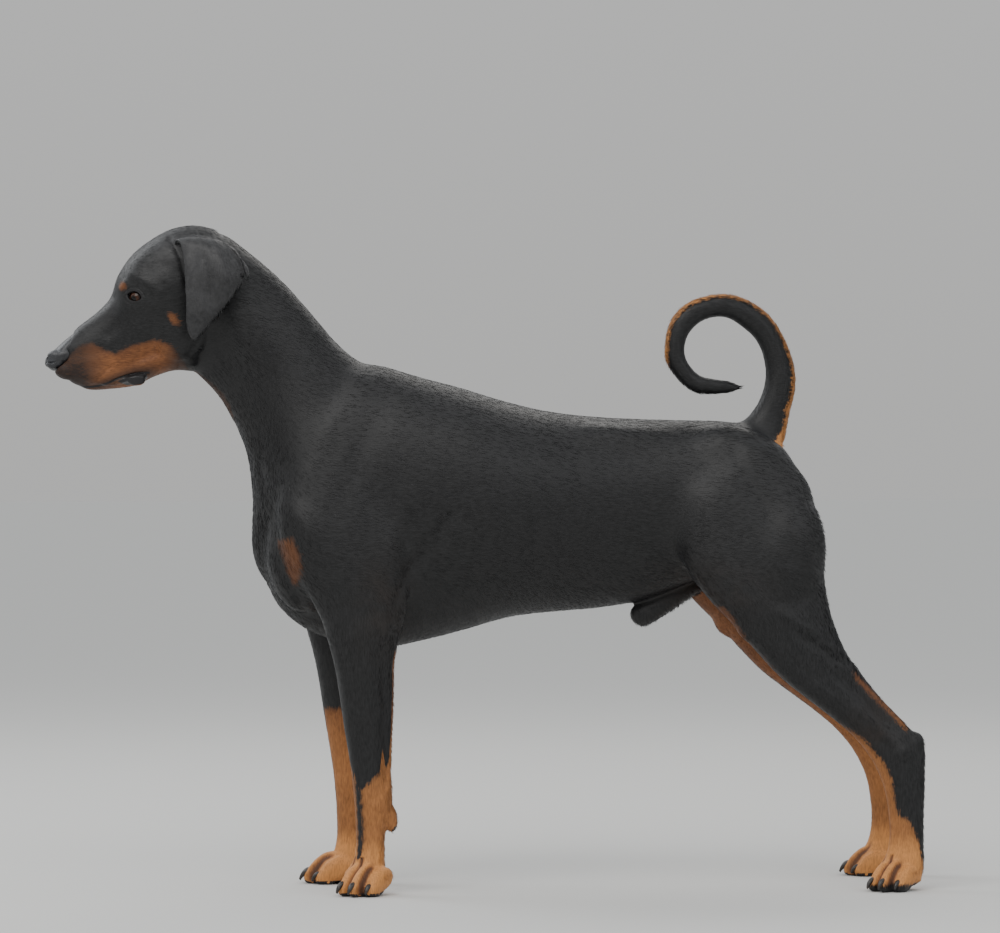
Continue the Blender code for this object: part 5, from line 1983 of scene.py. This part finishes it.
def grow(name, obj, weight_of, length_of, lift, density, axes, kind=FLAT_HAIR, lie=lie_of):
    """The hair of one piece or region, as one piece of tufts."""
    vary, wide, high, vary_lift, swing = kind
    roots = roots_on(obj, weight_of, density)
    points, normals, marks = roots
    count = len(points)
    length = length_of(points) * spread(count, 1.0, vary)
    sizes = (length, length * spread(count, wide, 0.2), length * spread(count, high, 0.3))
    ways = swung(lie(points, normals), normals, swing)
    make_tufts(name, roots, ways, sizes, spread(count, lift, vary_lift), AXES[axes])


def down_the_ear(p, n):
    """On an ear the hair runs from its root to its tip."""
    hangs = np.array([0.12, 0.0, -1.0])
    return unit(hangs - n * (n @ hangs)[:, None])


def everywhere(p, n):
    return np.ones(len(p))


def ear_hair_length(p):
    return EAR_HAIR * hair_length(p)


FLAT_LIFT = 1.3
EAR_TUFTS = 190000
EAR_HAIR = 0.65
for name, number, side, density, axes in COATS:
    def weight(p, n, number=number, side=side):
        here = (region_of(p) == number) & ((side == 0) | (p[:, 1] * side > 0))
        return coat_weight(p, n) * here
    grow(name, skin, weight, hair_length, FLAT_LIFT, density, axes)
for side, word in SIDES:
    ear = ears[word]
    name = "coat_ear_" + word
    grow(name, ear, everywhere, ear_hair_length, FLAT_LIFT, EAR_TUFTS, "ears", lie=down_the_ear)
    finish_piece(ear, coat_material, ["ear_" + word])

# %% Longer hair that breaks the outline
def tail_fringe(p, n):
    row, away = on_tail(p)
    facing = dots(n, TAIL_OUT[row])
    return (facing > 0.7) & (away < 40) & (p[:, 2] > 585) & (p[:, 0] > 225) & (row < len(TAIL_LINE) * 0.72)


def breech(p, n):
    x, z = unstepped(p), p[:, 2]
    return (n[:, 0] > 0.55) & (x > 330) & (z > 205) & (z < 560)


def breast(p, n):
    x, y, z = p.T
    return (x < -236) & (z > 340) & (z < 600) & (n[:, 0] < -0.5) & (np.abs(y) < 40)


def belly(p, n):
    return (n[:, 2] < -0.6) & (p[:, 2] > 320) & (p[:, 2] < 460) & (np.abs(p[:, 1]) < 70)


def back_of_legs(p, n):
    x, z = unstepped(p), p[:, 2]
    fore = (x < 0) & (z < 340) & (z > 25) & (n[:, 0] > 0.6)
    hock = (x > 480) & (z < 205) & (z > 25) & (n[:, 0] > 0.6)
    return fore | hock


def topline(p, n):
    return (n[:, 2] > 0.72) & (p[:, 2] > 580) & (p[:, 0] > -400) & (p[:, 0] < 330)


# For each piece: where it grows, the length and lift of its hair, tufts for each square metre, its axes
FRINGES = [
    ("fringe_tail", tail_fringe, 9.0, 9.0, 380000, "tail"),
    ("fringe_breech", breech, 10.0, 7.0, 60000, "hind"),
    ("fringe_breast", breast, 9.0, 4.5, 60000, "spine"),
    ("fringe_belly", belly, 8.0, 4.0, 60000, "spine"),
    ("fringe_legs", back_of_legs, 7.5, 9.0, 120000, "legs"),
    ("fringe_topline", topline, 6.5, 1.6, 30000, "spine"),
]
for name, where, length, lift, density, axes in FRINGES:
    def weight(p, n, where=where):
        return coat_weight(p, n) * where(p, n)

    def length_of(p, length=length):
        return np.full(len(p), length)
    grow(name, skin, weight, length_of, lift, density, axes, LONG_HAIR)

# %% The finished skin
finish_piece(skin, coat_material, FLESH)

# %% Finish
bpy.context.view_layer.update()
